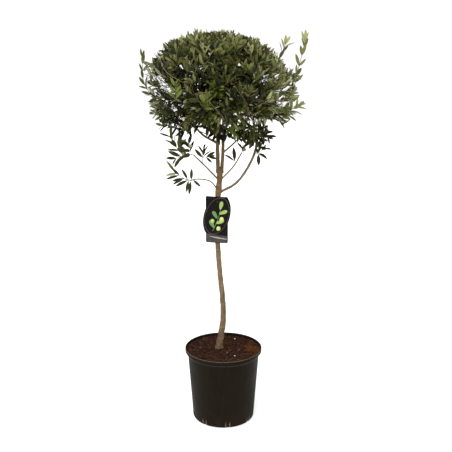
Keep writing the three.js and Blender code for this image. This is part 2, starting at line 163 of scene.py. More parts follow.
def bent_paths(starts: Array, bends: Array, ends: Array, count: int, upto: float = 1.0) -> Array:
    """Quadratic Bezier curves: (1-t)^2 start + 2t(1-t) bend + t^2 end, for t from 0 to upto.

    Args:
        starts: where the curves start, (n, 3).
        bends: the points that they bend towards, (n, 3).
        ends: where they would end at t = 1, (n, 3).
        count: points on each curve.
        upto: the last t.

    Returns:
        The curves, (n, count, 3).
    """
    t = np.linspace(0, upto, count)[None, :, None]
    return (1 - t) ** 2 * starts[:, None] + 2 * t * (1 - t) * bends[:, None] + t**2 * ends[:, None]


def waves(angle: Array, along: Array, rng: Random, turns: tuple[int, int], length: Pair) -> Array:
    """A seamless rough field round a limb: eight waves cos(k angle + 2 pi along / l + phase), averaged.

    Args:
        angle: the angle round the limb.
        along: the distance along it.
        rng: the random source for k, l and the phases.
        turns: the lowest and highest whole number k of waves round the limb.
        length: the shortest and longest wavelength l along it.

    Returns:
        Values mostly between -1 and 1, in the shape of angle and along together.
    """
    field = 0.0
    for _ in range(8):
        k = rng.integers(turns[0], turns[1] + 1) * rng.choice([-1, 1])
        wavelength = rng.uniform(*length)
        field = field + np.cos(k * angle + math.tau * along / wavelength + rng.uniform(0, math.tau))
    return field / 3


# ---- Meshes ----


class Patch(NamedTuple):
    """Closed surfaces as arrays: points (n, 3), faces (k, 4) and each face's finish (k,).

    A triangle repeats its last corner.
    """

    points: Array
    faces: Array
    finish: Array


def grid_faces(rows: int, columns: int, closed: bool) -> Array:
    """The four-cornered faces between rows of points, joined round where the columns close."""
    index = np.arange(rows * columns).reshape(rows, columns)
    after = np.roll(index, -1, axis=1)
    last = columns if closed else columns - 1
    corners = (index[:-1, :last], after[:-1, :last], after[1:, :last], index[1:, :last])
    return np.stack(corners, axis=-1).reshape(-1, 4)


def fan_faces(ring: Array) -> Array:
    """Triangles from the first corner of a ring to each of its other sides."""
    first = np.full(len(ring) - 2, ring[0])
    return rows_of(first, ring[1:-1], ring[2:], ring[2:])


def repeated(faces: Array, copies: int, size: int) -> Array:
    """The faces of one shape, repeated for copies whose points follow each other."""
    return (faces[None] + size * np.arange(copies)[:, None, None]).reshape(-1, 4)


def closed_sheet(front: Array, border: Array, size: int) -> Array:
    """A sheet's faces: its front, the same behind, size points further on, and a rim round its border."""
    after = np.roll(border, -1)
    return np.vstack([front, front[:, ::-1] + size, rows_of(after, border, border + size, after + size)])


def tubes(paths: Array, radii: Array, sides: int, finish: Array | int = 0) -> Patch:
    """Closed tubes of the section p + r (n cos(a) + b sin(a)), whose n and b don't twist.

    Args:
        paths: the middle lines, (n, m, 3).
        radii: the radius at each point, (n, m), or at each point and side, (n, m, sides).
        sides: corners of the section.
        finish: one finish number, or one for each tube.

    Returns:
        The tubes as one patch.
    """
    copies, count, _ = paths.shape
    tangents = unit(np.gradient(paths, axis=1))
    start = np.where(np.abs(tangents[:, :1, 2:]) > 0.9, np.array([1.0, 0, 0]), UP)[:, 0]
    normals = np.empty_like(paths)
    normals[:, 0] = square_to(start, tangents[:, 0])
    for i in range(1, count):
        normals[:, i] = square_to(normals[:, i - 1], tangents[:, i])
    across = np.cross(tangents, normals)
    angle = around(sides)
    ring = normals[:, :, None] * np.cos(angle)[:, None] + across[:, :, None] * np.sin(angle)[:, None]
    radii = radii if radii.ndim == 3 else radii[..., None]
    points = paths[:, :, None] + radii[..., None] * ring
    last = np.arange(sides) + (count - 1) * sides
    faces = np.vstack([grid_faces(count, sides, True), fan_faces(np.arange(sides)[::-1]), fan_faces(last)])
    number = np.broadcast_to(np.asarray(finish).reshape(-1, 1), (copies, len(faces)))
    return Patch(points.reshape(-1, 3), repeated(faces, copies, count * sides), number.ravel())


def tapered(paths: Array, foot: float, tip: float, sides: int, finish: int = 0) -> Patch:
    """Closed tubes that taper between two radii in millimetres."""
    radii = np.broadcast_to(MM * np.linspace(foot, tip, paths.shape[1]), paths.shape[:2])
    return tubes(paths, radii, sides, finish)


def lathe(profile: Array, segments: int, radius_shift: Array | float = 0.0) -> Patch:
    """A closed solid turned about Z: (r cos a, r sin a, z) for each profile point and angle a.

    Args:
        profile: radii and heights, (m, 2), from the axis below to the axis above, outer side first.
        segments: steps round the axis.
        radius_shift: added to the radius, (m, segments) or one value.

    Returns:
        The solid, with one point at each pole.
    """
    angle = around(segments)
    inner = profile[1:-1]
    rows = len(inner)
    radius = inner[:, :1] + radius_shift
    height = np.broadcast_to(inner[:, 1:], (rows, segments))
    points = np.stack([radius * np.cos(angle), radius * np.sin(angle), height], axis=-1).reshape(-1, 3)
    ring = np.arange(segments)
    after = np.roll(ring, -1)
    bottom, top = rows * segments, rows * segments + 1
    low = rows_of(np.full(segments, bottom), after, ring, ring)
    last = ring + (rows - 1) * segments
    high = rows_of(np.full(segments, top), last, np.roll(last, -1), np.roll(last, -1))
    poles = np.array([[0, 0, profile[0, 1]], [0, 0, profile[-1, 1]]])
    faces = np.vstack([grid_faces(rows, segments, True), low, high])
    return Patch(np.vstack([points, poles]), faces, np.zeros(len(faces), int))


def put_mesh(
    name: str, patches: list[Patch], finishes: list[Material], smooth: float | None = None
) -> Object:
    """Puts patches into one mesh object at the origin.

    Args:
        name: the piece's name.
        patches: the surfaces.
        finishes: the materials that the faces' finish numbers name.
        smooth: the angle up to which edges are shaded round, in degrees; None leaves faces flat.

    Returns:
        The object, linked to the scene.
    """
    starts = np.cumsum([0] + [len(patch.points) for patch in patches[:-1]])
    points = np.concatenate([patch.points for patch in patches]).astype(np.float32)
    faces = np.concatenate([patch.faces + start for patch, start in zip(patches, starts)])
    finish = np.concatenate([patch.finish for patch in patches]).astype(np.int32)
    kept = np.ones(faces.shape, bool)
    kept[:, 3] = faces[:, 3] != faces[:, 2]
    corners = faces[kept].astype(np.int32)
    sizes = kept.sum(axis=1)
    mesh = bpy.data.meshes.new(name)
    mesh.vertices.add(len(points))
    mesh.vertices.foreach_set("co", points.ravel())
    mesh.loops.add(len(corners))
    mesh.loops.foreach_set("vertex_index", corners)
    mesh.polygons.add(len(faces))
    mesh.polygons.foreach_set("loop_start", (np.cumsum(sizes) - sizes).astype(np.int32))
    for material in finishes:
        mesh.materials.append(material)
    mesh.polygons.foreach_set("material_index", finish)
    mesh.update(calc_edges=True)
    mesh.validate()
    if smooth is None:
        mesh.shade_flat()
    else:
        mesh.shade_smooth()
        mesh.set_sharp_from_angle(angle=math.radians(smooth))
    piece = bpy.data.objects.new(name, mesh)
    bpy.context.scene.collection.objects.link(piece)
    return piece


def hand_over(piece: Object, slot: str, *nodes: str) -> None:
    """Rides a finished piece on the tree's one body, for the nodes that it replaces."""
    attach(piece, "root")
    if nodes:
        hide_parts(*nodes)
    LOG.info("%s: %d faces", piece.name, len(piece.data.polygons))


# ---- Shader nodes ----


def linear(colour: Colour) -> tuple[float, float, float, float]:
    """A screen colour of 0 to 255 as the linear colour that sockets take."""
    parts = np.asarray(colour) / 255
    shades = np.where(parts <= 0.04045, parts / 12.92, ((parts + 0.055) / 1.055) ** 2.4)
    return (*shades.tolist(), 1.0)


class Pattern(NamedTuple):
    """A placed effect: its mask from 0 to 1, and its height where it has one."""

    mask: Socket
    height: Socket | None = None


class Wiring:
    """Places shader nodes in a tree and joins them."""

    def __init__(self, tree: NodeTree) -> None:
        """Keeps the tree that the nodes go into."""
        self.tree = tree

    def join(self, value: object, socket: Socket) -> None:
        """Links a socket to an input, or sets the input to a plain value."""
        if isinstance(value, Socket):
            self.tree.links.new(value, socket)
        else:
            socket.default_value = value

    def node(self, kind: str, settings: dict | None = None, **inputs: object) -> Node:
        """Adds a node.

        Args:
            kind: the node's type.
            settings: its plain properties.
            **inputs: sockets or values by input name, with _ for a space.

        Returns:
            The node.
        """
        node = self.tree.nodes.new(kind)
        for name, value in (settings or {}).items():
            setattr(node, name, value)
        for name, value in inputs.items():
            self.join(value, node.inputs[name.replace("_", " ")])
        return node

    def math(self, operation: str, *values: object) -> Socket:
        """The result of one sum on sockets or numbers."""
        node = self.node("ShaderNodeMath", {"operation": operation})
        for value, socket in zip(values, node.inputs):
            self.join(value, socket)
        return node.outputs[0]

    def times(self, a: object, b: object) -> Socket:
        """The product of two sockets or numbers."""
        return self.math("MULTIPLY", a, b)

    def place(self) -> Socket:
        """Where a point lies on its object."""
        return self.node("ShaderNodeTexCoord").outputs["Object"]

    def noise(self, vector: object, scale: object, detail: float, roughness: float) -> Socket:
        """Soft noise at a place."""
        node = self.node("ShaderNodeTexNoise", Vector=vector, Scale=scale, Detail=detail, Roughness=roughness)
        return node.outputs["Fac"]

    def mix(self, factor: object, a: object, b: object) -> Socket:
        """Colour a where the factor is 0 and b where it is 1."""
        node = self.node("ShaderNodeMix", {"data_type": "RGBA"})
        for value, place in ((factor, 0), (a, 6), (b, 7)):
            self.join(value, node.inputs[place])
        return node.outputs[2]

    def spread(
        self,
        value: object,
        low: object,
        high: object,
        to: Pair = (0, 1),
        kind: str = "SMOOTHSTEP",
    ) -> Socket:
        """A value's range from low to high, spread over another range."""
        node = self.node("ShaderNodeMapRange", {"interpolation_type": kind})
        for socket, amount in zip(node.inputs, (value, low, high, *to)):
            self.join(amount, socket)
        return node.outputs[0]

    def effect(self, group: NodeTree, **inputs: object) -> Pattern:
        """Places a shared effect with its own values."""
        return Pattern(*self.node("ShaderNodeGroup", {"node_tree": group}, **inputs).outputs)

    def coats(self, base: Colour, *coats: tuple[object, float, Colour]) -> Socket:
        """A screen colour under coats: where each lies, how much it covers, and its colour."""
        colour = linear(base)
        for where, cover, coat in coats:
            colour = self.mix(self.times(where, cover), colour, linear(coat))
        return colour

    def surface(
        self, shader: Node, colour: object, roughness: object, gloss: float, bump: tuple[float, float, object]
    ) -> None:
        """Sets a Principled node.

        Args:
            shader: the node.
            colour: its base colour.
            roughness: its roughness.
            gloss: its specular level.
            bump: the relief's strength, its depth and its height.
        """
        strength, depth, height = bump
        normal = self.node("ShaderNodeBump", Strength=strength, Distance=depth, Height=height).outputs[0]
        names = ("Base Color", "Roughness", "Specular IOR Level", "Normal")
        for name, value in zip(names, (colour, roughness, gloss, normal)):
            self.join(value, shader.inputs[name])


def new_group(name: str, inputs: dict[str, float], outputs: tuple[str, ...]) -> tuple[Wiring, dict, dict]:
    """Starts a shared effect.

    Args:
        name: its name.
        inputs: its number inputs and what they stand at.
        outputs: its number outputs.

    Returns:
        Its wiring, its inputs' sockets by name, and its outputs' sockets by name.
    """
    group = bpy.data.node_groups.new(name, "ShaderNodeTree")
    for label in (*inputs, *outputs):
        side = "INPUT" if label in inputs else "OUTPUT"
        socket = group.interface.new_socket(label, in_out=side, socket_type="NodeSocketFloat")
        socket.default_value = inputs.get(label, 0.0)
    wiring = Wiring(group)
    ends = (wiring.node("NodeGroupInput").outputs, wiring.node("NodeGroupOutput").inputs)
    given, out = ({socket.name: socket for socket in end if socket.name} for end in ends)
    return wiring, given, out


def streaks_effect() -> NodeTree:
    """Noise drawn out along Z: a soft mask and a finer height."""
    inputs = {"Scale": 60.0, "Stretch": 5.0, "Contrast": 0.18}
    wiring, given, out = new_group("streaks", inputs, ("Mask", "Height"))
    thin = wiring.math("DIVIDE", 1.0, given["Stretch"])
    squeeze = wiring.node("ShaderNodeCombineXYZ", X=1.0, Y=1.0, Z=thin)
    drawn = wiring.node("ShaderNodeVectorMath", {"operation": "MULTIPLY"})
    for value, socket in zip((wiring.place(), squeeze.outputs[0]), drawn.inputs):
        wiring.join(value, socket)
    coarse = wiring.noise(drawn.outputs[0], given["Scale"], 5.0, 0.6)
    fine = wiring.noise(drawn.outputs[0], wiring.times(given["Scale"], 4.5), 4.0, 0.65)
    low, high = (wiring.math(operation, 0.5, given["Contrast"]) for operation in ("SUBTRACT", "ADD"))
    wiring.join(wiring.spread(coarse, low, high), out["Mask"])
    wiring.join(fine, out["Height"])
    return wiring.tree


def specks_effect() -> NodeTree:
    """Scattered spots: a mask that is 1 within Size of some cell middles."""
    wiring, given, out = new_group("specks", {"Scale": 200.0, "Size": 0.2, "Share": 0.3}, ("Mask",))
    cells = wiring.node("ShaderNodeTexVoronoi", Vector=wiring.place(), Scale=given["Scale"], Randomness=1.0)
    spot = wiring.math("LESS_THAN", cells.outputs["Distance"], given["Size"])
    chosen = wiring.node("ShaderNodeSeparateColor", Color=cells.outputs["Color"]).outputs[0]
    wiring.join(wiring.times(spot, wiring.math("LESS_THAN", chosen, given["Share"])), out["Mask"])
    return wiring.tree


def grime_effect() -> NodeTree:
    """Dirt that thins out upwards: 1 at the height Low, fading to 0 at High, broken by noise."""
    wiring, given, out = new_group("grime", {"Low": 0.0, "High": 0.05, "Scale": 40.0}, ("Mask",))
    place = wiring.place()
    height = wiring.node("ShaderNodeSeparateXYZ", Vector=place).outputs[2]
    fade = wiring.spread(height, given["High"], given["Low"], kind="LINEAR")
    broken = wiring.spread(wiring.noise(place, given["Scale"], 6.0, 0.7), 0.4, 0.62)
    wiring.join(wiring.times(fade, broken), out["Mask"])
    return wiring.tree


@dataclass(frozen=True)
class Effects:
    """The effects that several finishes share."""

    streaks: NodeTree
    specks: NodeTree
    grime: NodeTree


def new_finish(name: str) -> tuple[Material, Wiring, Node]:
    """A new material, its wiring and its Principled node."""
    material = bpy.data.materials.new(name)
    material.use_nodes = True
    wiring = Wiring(material.node_tree)
    return material, wiring, material.node_tree.nodes["Principled BSDF"]


# ---- Finishes ----


LEAF_GLOSS = 0.22


class LeafTint(Enum):
    """Plain leaf colours that are dealt out by spray: name, screen colour and roughness. SHADE to TOP are
    shaded and lit copies of one leaf green, painted shade and painted light.
    """

    # SHADE and DEEP are painted shade, MIDDLE the plain middle, LIGHT and TOP painted light; YOUNG,
    # YOUNG_PALE and the UNDER tints are leaf colours of their own.
    SHADE = ("leaf_shade", (22, 26, 8), 0.55)
    DEEP = ("leaf_deep", (44, 49, 15), 0.52)
    MIDDLE = ("leaf_middle", (75, 78, 29), 0.5)
    LIGHT = ("leaf_light", (116, 120, 65), 0.48)
    TOP = ("leaf_top", (161, 164, 110), 0.47)
    YOUNG = ("leaf_young", (102, 114, 46), 0.45)
    YOUNG_PALE = ("leaf_young_pale", (132, 143, 80), 0.45)
    UNDER = ("leaf_under", (94, 96, 62), 0.6)
    UNDER_PALE = ("leaf_under_pale", (146, 148, 110), 0.6)

    @property
    def place(self) -> int:
        """The tint's number in every leafy piece."""
        return list(LeafTint).index(self)

    def finish(self) -> Material:
        """The leaf's material: one plain colour with a waxy gloss."""
        label, colour, roughness = self.value
        material, _, shader = new_finish(label)
        shader.inputs["Base Color"].default_value = linear(colour)
        shader.inputs["Roughness"].default_value = roughness
        shader.inputs["Specular IOR Level"].default_value = LEAF_GLOSS
        return material


SHADE, DEEP, MIDDLE, LIGHT, TOP, YOUNG, YOUNG_PALE, UNDER, UNDER_PALE = LeafTint


@dataclass(frozen=True)
class BarkFinish:
    """Olive bark: streaked, with pale breathing pores, green film and soil splashes low down. Above a given
    height it takes an upper colour, which on the wood inside the crown is near-black painted shade.
    """

    name: str
    dark: Colour
    light: Colour
    pale: Colour
    green: Colour
    # Upper colour: near-black painted shade for wood inside the crown, a warmer brown on the trunk and a pale
    # tan on the bare twigs.
    upper: Colour
    upper_from: float
    upper_to: float
    roughness: float = 0.85
    soil_line: float = 0.262
    soil: Colour = (92, 56, 32)

    def material(self, effects: Effects) -> Material:
        """The bark's material."""
        material, wiring, shader = new_finish(self.name)
        long = wiring.effect(effects.streaks, Scale=95.0, Stretch=6.0, Contrast=0.16)
        broad = wiring.effect(effects.streaks, Scale=22.0, Stretch=1.6, Contrast=0.12)
        film = wiring.effect(effects.streaks, Scale=13.0, Stretch=2.5, Contrast=0.08)
        pores = wiring.effect(effects.specks, Scale=260.0, Size=0.22, Share=0.16)
        splash = wiring.effect(effects.grime, Low=self.soil_line, High=self.soil_line + 0.05, Scale=90.0)
        height = wiring.node("ShaderNodeSeparateXYZ", Vector=wiring.place()).outputs[2]
        patchy = wiring.spread(film.height, 0.25, 0.6, (0.5, 1.0))
        # Upper colour from upper_from to upper_to: near-black painted shade on the leaders, boughs and twigs
        # inside the crown.
        upper = wiring.times(wiring.spread(height, self.upper_from, self.upper_to), patchy)
        rings = wiring.node("ShaderNodeAttribute", {"attribute_name": "rings"}).outputs["Fac"]
        colour = wiring.coats(
            self.dark,
            (long.mask, 1.0, self.light),
            (broad.mask, 1.0, self.light),
            (film.mask, 0.45, self.green),
            (pores.mask, 0.7, self.pale),
            (splash.mask, 0.7, self.soil),
            (upper, 1.0, self.upper),
            (rings, 0.6, self.pale),
        )
        roughness = wiring.spread(long.height, 0.3, 0.7, (self.roughness - 0.08, 0.95))
        grain = wiring.math("ADD", long.height, wiring.times(pores.mask, 0.25))
        wiring.surface(shader, colour, roughness, 0.2, (0.8, 1 * MM, grain))
        return material


@dataclass(frozen=True)
class PotPlastic:
    """Black moulded plastic: dull, faintly brushed, scuffed and dusty towards the foot.

    It carries a painted highlight between a start and an end in metres: aside from a slot's middle, or in
    height.
    """

    colour: Colour = (17, 13, 7)
    worn_tone_and_highlight: Colour = (40, 35, 25)
    soil: Colour = (78, 50, 34)
    # Colour of the painted highlight.
    highlight_colour: Colour = (122, 112, 94)
    # Where the painted highlight lies: beside the slots, on the lip and at the collar's edge, with its
    # strength.
    beside_slot: tuple[Pair, Pair] = ((0.0050, 0.0062), (0.0105, 0.0075))
    slot_top: Pair = (0.030, 0.014)
    lip: Pair = (0.2664, 0.2696)
    lip_highlight: float = 0.62
    collar: tuple[Pair, Pair] = ((0.2480, 0.2492), (0.2515, 0.2498))
    collar_highlight: float = 0.28

    def painted_highlight(self, wiring: Wiring, noise: Socket) -> Socket:
        """Painted highlight, a pale band where light catches: along the lip, the collar's edge and the ribs
        beside the slots.
        """
        x, y, z = wiring.node("ShaderNodeSeparateXYZ", Vector=wiring.place()).outputs
        turn = wiring.math("SUBTRACT", wiring.math("ARCTAN2", y, x), math.radians(Pot.slot_turn - 90))
        aside = wiring.times(wiring.math("PINGPONG", turn, math.pi / Pot.slots), MM * Pot.foot_radius)
        beside = wiring.times(*(wiring.spread(aside, *limits) for limits in self.beside_slot))
        slots = wiring.times(beside, wiring.spread(z, *self.slot_top))
        lip = wiring.times(wiring.spread(z, *self.lip), self.lip_highlight)
        low, high = self.collar
        collar = wiring.times(wiring.spread(z, *low), wiring.spread(z, *high, (0, self.collar_highlight)))
        # The painted highlight's mask.
        worn_tone_and_highlight = wiring.math("MAXIMUM", wiring.math("MAXIMUM", slots, lip), collar)
        return wiring.times(worn_tone_and_highlight, wiring.spread(noise, 0.3, 0.62))

    def material(self, effects: Effects) -> Material:
        """The pot's material."""
        material, wiring, shader = new_finish("pot_plastic_moulded")
        cloud = wiring.effect(effects.streaks, Scale=9.0, Stretch=1.3, Contrast=0.2)
        drawn = wiring.effect(effects.streaks, Scale=120.0, Stretch=9.0, Contrast=0.1)
        dust = wiring.effect(effects.specks, Scale=420.0, Size=0.16, Share=0.1)
        splash = wiring.effect(effects.grime, Low=-0.01, High=0.075, Scale=38.0)
        colour = wiring.coats(
            self.colour,
            (cloud.mask, 0.22, self.worn_tone_and_highlight),
            (drawn.mask, 0.1, self.worn_tone_and_highlight),
            (dust.mask, 0.22, self.soil),
            (splash.mask, 0.16, self.soil),
            # Painted highlight on the lip, the collar's edge and the ribs beside the slots.
            (self.painted_highlight(wiring, drawn.height), 1.0, self.highlight_colour),
        )
        clean = wiring.spread(cloud.mask, 0.0, 1.0, (0.5, 0.62))
        roughness = wiring.math("ADD", clean, wiring.times(splash.mask, 0.2))
        wiring.surface(shader, colour, roughness, 0.06, (0.25, 0.4 * MM, drawn.height))
        shader.inputs["Specular Tint"].default_value = (1.0, 0.88, 0.7, 1)
        return material


@dataclass(frozen=True)
class SoilFinish:
    """Crumbly peat and bark: two browns mottled together, very rough."""

    name: str
    dark: Colour
    light: Colour
    scale: float = 120.0

    def material(self, effects: Effects) -> Material:
        """The soil's material."""
        material, wiring, shader = new_finish(self.name)
        crumbs = wiring.effect(effects.streaks, Scale=self.scale, Stretch=1.0, Contrast=0.12)
        grit = wiring.effect(effects.specks, Scale=520.0, Size=0.25, Share=0.25)
        colour = wiring.coats(self.dark, (crumbs.mask, 1.0, self.light), (grit.mask, 0.5, self.dark))
        wiring.surface(shader, colour, 0.95, 0.1, (0.8, 1.5 * MM, crumbs.height))
        return material


@dataclass(frozen=True)
class PrintedPlastic:
    """Glossy sheet plastic, or the ink on it: one colour with a faint mottle."""

    name: str
    colour: Colour
    mottle: Colour
    roughness: float = 0.3
    gloss: float = 0.25

    def material(self, effects: Effects) -> Material:
        """The plastic's material."""
        material, wiring, shader = new_finish(self.name)
        cloud = wiring.effect(effects.streaks, Scale=70.0, Stretch=1.5, Contrast=0.2)
        colour = wiring.coats(self.colour, (cloud.mask, 0.5, self.mottle))
        roughness = wiring.spread(cloud.height, 0.3, 0.7, (self.roughness, self.roughness + 0.12))
        wiring.surface(shader, colour, roughness, self.gloss, (0.12, 0.3 * MM, cloud.height))
        return material


# ---- Leaves ----


@dataclass(frozen=True)
class Leaf:
    """A slim olive leaf: closed, widest in the middle, with a raised midrib below.

    Along its length run four cross-sections of four points: left edge, midrib above, right
    edge, midrib below. Its middle line is root + L (s along - curl s^2 facing / 2), and an edge
    lies half a width w(s) to the side of it, lifted by the fold.
    """

    length: float = 40 * MM
    width: float = 10.5 * MM
    thickness: float = 0.9 * MM
    parts: tuple[float, ...] = (0.07, 0.3, 0.58, 0.84)
    widths: tuple[float, ...] = (0.2, 0.86, 1.0, 0.6)

    def blades(
        self,
        roots: Array,
        along: Array,
        facing: Array,
        size: Array,
        curl: Array,
        fold: Array,
        upper: Array,
        under: Array,
    ) -> Patch:
        """Leaves at given places.

        Args:
            roots: where the leaves grow from, (n, 3).
            along: unit directions that they leave in, (n, 3).
            facing: unit vectors out of their upper sides, (n, 3).
            size: each leaf's scale, (n,).
            curl: how far each bends back, in radians, (n,).
            fold: how far each one's edges lift, as a share of its half width, (n,).
            upper: finish numbers of the upper sides, (n,).
            under: finish numbers of the undersides, (n,).

        Returns:
            The leaves as one patch.
        """
        count = len(roots)
        s = np.array([0.0, *self.parts, 1.0])
        length = (self.length * size)[:, None, None]
        middle = roots[:, None] + length * (
            along[:, None] * s[:, None] - facing[:, None] * (curl[:, None, None] * s[:, None] ** 2 / 2)
        )
        across = np.cross(along, facing)[:, None]
        half = (self.width / 2 * size)[:, None, None] * np.array(self.widths)[:, None]
        lift = facing[:, None] * half * fold[:, None, None]
        rib = facing[:, None] * self.thickness * 0.5
        inner = middle[:, 1:-1]
        sides = (inner - across * half + lift, inner, inner + across * half + lift, inner - rib)
        sections = np.stack(sides, axis=2).reshape(count, -1, 3)
        points = np.concatenate([middle[:, :1], sections, middle[:, -1:]], axis=1)
        faces, is_upper = self.outline_faces()
        number = np.where(is_upper[None], upper[:, None], under[:, None])
        return Patch(points.reshape(-1, 3), repeated(faces, count, points.shape[1]), number.ravel())

    def outline_faces(self) -> tuple[Array, Array]:
        """One leaf's faces, and which of them are on its upper side."""
        stations = len(self.parts)
        last = 1 + 4 * stations
        faces, is_upper = [], []
        for side in range(4):
            near = 1 + side
            far = 1 + (side + 1) % 4
            faces.append([0, far, near, near])
            for row in range(0, 4 * (stations - 1), 4):
                faces.append([near + row, far + row, far + row + 4, near + row + 4])
            end = 4 * (stations - 1)
            faces.append([near + end, far + end, last, last])
            is_upper += [side < 2] * (stations + 1)
        return np.array(faces), np.array(is_upper)


class Shoots(NamedTuple):
    """Leafy shoots that are dressed together, each given by its path, (n, m, 3)."""

    paths: Array
    size: Array
    tint: Array
    first: float
    spacing: float


@dataclass(frozen=True)
class Foliage:
    """How leaves sit on a shoot: crossed pairs that close up towards its tip."""

    leaf: Leaf
    foot_angle: float = math.radians(48)
    tip_angle: float = math.radians(20)
    foot_size: float = 0.85
    tip_size: float = 0.62
    away: float = 0.7
    ahead: float = 0.0
    unevenness: float = 0.2
    roll_noise: float = 0.22
    lean_noise: float = 0.14
    facing_noise: float = 0.35
    sizes: Pair = (0.82, 1.15)
    curls: Pair = (0.0, 0.55)
    folds: Pair = (-0.15, 0.4)

    def dress(self, shoots: Shoots, rng: Random, stands: Callable[[Array, Array], Array]) -> Patch:
        """The leaves of some shoots.

        Pair j of a shoot leaves it at the part first + j spacing / length, turned a quarter from
        pair j - 1. A leaf leaves its shoot at an angle that narrows from foot to tip, and its
        upper side faces up, outwards and towards the shoot's tip.

        Args:
            shoots: the shoots.
            rng: the random source.
            stands: says which leaves may stand, from their roots and tips, (n, 3) each.

        Returns:
            The leaves as one patch.
        """
        paths = shoots.paths
        count, steps, _ = paths.shape
        length = np.linalg.norm(np.diff(paths, axis=1), axis=-1).sum(axis=1)
        pairs = np.arange(int(length.max() / shoots.spacing) + 2)
        apart = (shoots.spacing / length)[:, None]
        part = shoots.first + pairs[None] * apart
        part = part + rng.uniform(-self.unevenness, self.unevenness, part.shape) * apart
        kept = part < 1.0
        part = np.clip(part, 0, 0.999)
        step = (part * (steps - 1)).astype(int)
        rest = (part * (steps - 1) - step)[..., None]
        which = np.arange(count)[:, None]
        near, far = paths[which, step], paths[which, step + 1]
        axis = unit(far - near)
        root = blend(near, far, rest)
        side = square_to(np.broadcast_to(np.array([0.31, 0.17, 0.93]), axis.shape), axis)
        roll = rng.uniform(0, math.pi, (count, 1)) + pairs[None] * math.pi / 2
        roll = roll + rng.normal(0, self.roll_noise, part.shape)
        leaves = []
        for turn in (0.0, math.pi):
            out = turn_about(side, axis, roll + turn)
            lean = blend(self.foot_angle, self.tip_angle, part**1.2)
            lean = lean + rng.normal(0, self.lean_noise, part.shape)
            along = axis * np.cos(lean)[..., None] + out * np.sin(lean)[..., None]
            away = unit(root * np.array([1.0, 1.0, 0.0]) + 1e-6)
            facing = 0.4 * axis + 0.65 * UP + self.away * away + self.ahead * FRONT
            facing = square_to(facing + rng.normal(0, self.facing_noise, along.shape), along)
            fullness = np.sin(math.pi * np.minimum(part * 1.15, 1))
            scale = shoots.size[:, None] * blend(self.foot_size, 1.0, fullness)
            scale = scale * np.where(part > 0.85, blend(1.0, self.tip_size, (part - 0.85) / 0.15), 1.0)
            scale = scale * rng.uniform(*self.sizes, part.shape)
            tip = root + along * (self.leaf.length * scale)[..., None]
            keep = kept & stands(root.reshape(-1, 3), tip.reshape(-1, 3)).reshape(part.shape)
            tint = np.broadcast_to(shoots.tint[:, None], part.shape)
            leaves.append([values[keep] for values in (root, along, facing, scale, tint)])
        root, along, facing, scale, tint = (np.concatenate(pair) for pair in zip(*leaves))
        curl = rng.uniform(*self.curls, len(root))
        fold = rng.uniform(*self.folds, len(root))
        under = np.where(rng.random(len(root)) < 0.5, UNDER.place, UNDER_PALE.place)
        return self.leaf.blades(root, along, facing, scale, curl, fold, tint, under)


# ---- Trunk and limbs ----


@dataclass(frozen=True)
class Limb:
    """A tapering limb through points, with its foot inside the limb that carries it."""

    name: str
    through: tuple[Point, ...]
    radii: Pair
    collar: float = 0.45
    collar_reach: float = 5 * MM
    step: float = 2.5 * MM
    sides: int = 16

    def path(self) -> Array:
        """The limb's middle line."""
        through = MM * np.array(self.through)
        rough_length = np.linalg.norm(np.diff(through, axis=0), axis=1).sum()
        return smooth_path(through, int(rough_length / self.step) + 2)

    def end(self) -> tuple[Array, Array]:
        """The limb's tip and the direction that it points in."""
        path = self.path()
        return path[-1], unit(path[-1] - path[-2])

    def surface(self, rng: Random) -> tuple[Patch, Array]:
        """The limb with its relief, and how strongly each point lies on a pale ring.

        The radius is r(t) (1 + collar e^(-s/reach)) plus a swelling at each old leaf joint and
        shallow waves that run along the limb.
        """
        path = self.path()
        t = np.linspace(0, 1, len(path))[:, None]
        along = t * np.linalg.norm(np.diff(path, axis=0), axis=1).sum()
        angle = around(self.sides)[None]
        radius = MM * blend(self.radii[0], self.radii[1], t)
        spacing = rng.uniform(24, 34) * MM
        joint = np.exp(-(((along + 8 * MM) % spacing - spacing / 2) / (2.2 * MM)) ** 2)
        relief = (
            0.09 * joint * (1 + 0.6 * np.cos(2 * angle + np.floor(along / spacing) * math.pi / 2))
            + 0.05 * waves(angle, along, rng, (1, 3), (0.02, 0.07))
            + 0.035 * waves(angle, along, rng, (4, 7), (0.03, 0.12))
        )
        grown = radius * (1 + self.collar * np.exp(-along / self.collar_reach) + relief)
        patch = tubes(path[None], grown[None], self.sides)
        return patch, np.broadcast_to(0.2 * joint, grown.shape).ravel()


LEADERS = (
    Limb(
        "left_leader",
        ((-17.6, 0, 915), (-19.6, -5, 995), (-19, -9, 1040), (-25, -12, 1140), (-33, -13, 1225)),
        (7.4, 3.6), 0.03,
    ),
    Limb(
        "right_leader",
        ((-5.6, 0, 915), (-1.0, 5, 995), (-1.0, 9, 1040), (5, 13, 1140), (24, 13, 1225)),
        (6.2, 3.4), 0.03,
    ),
)

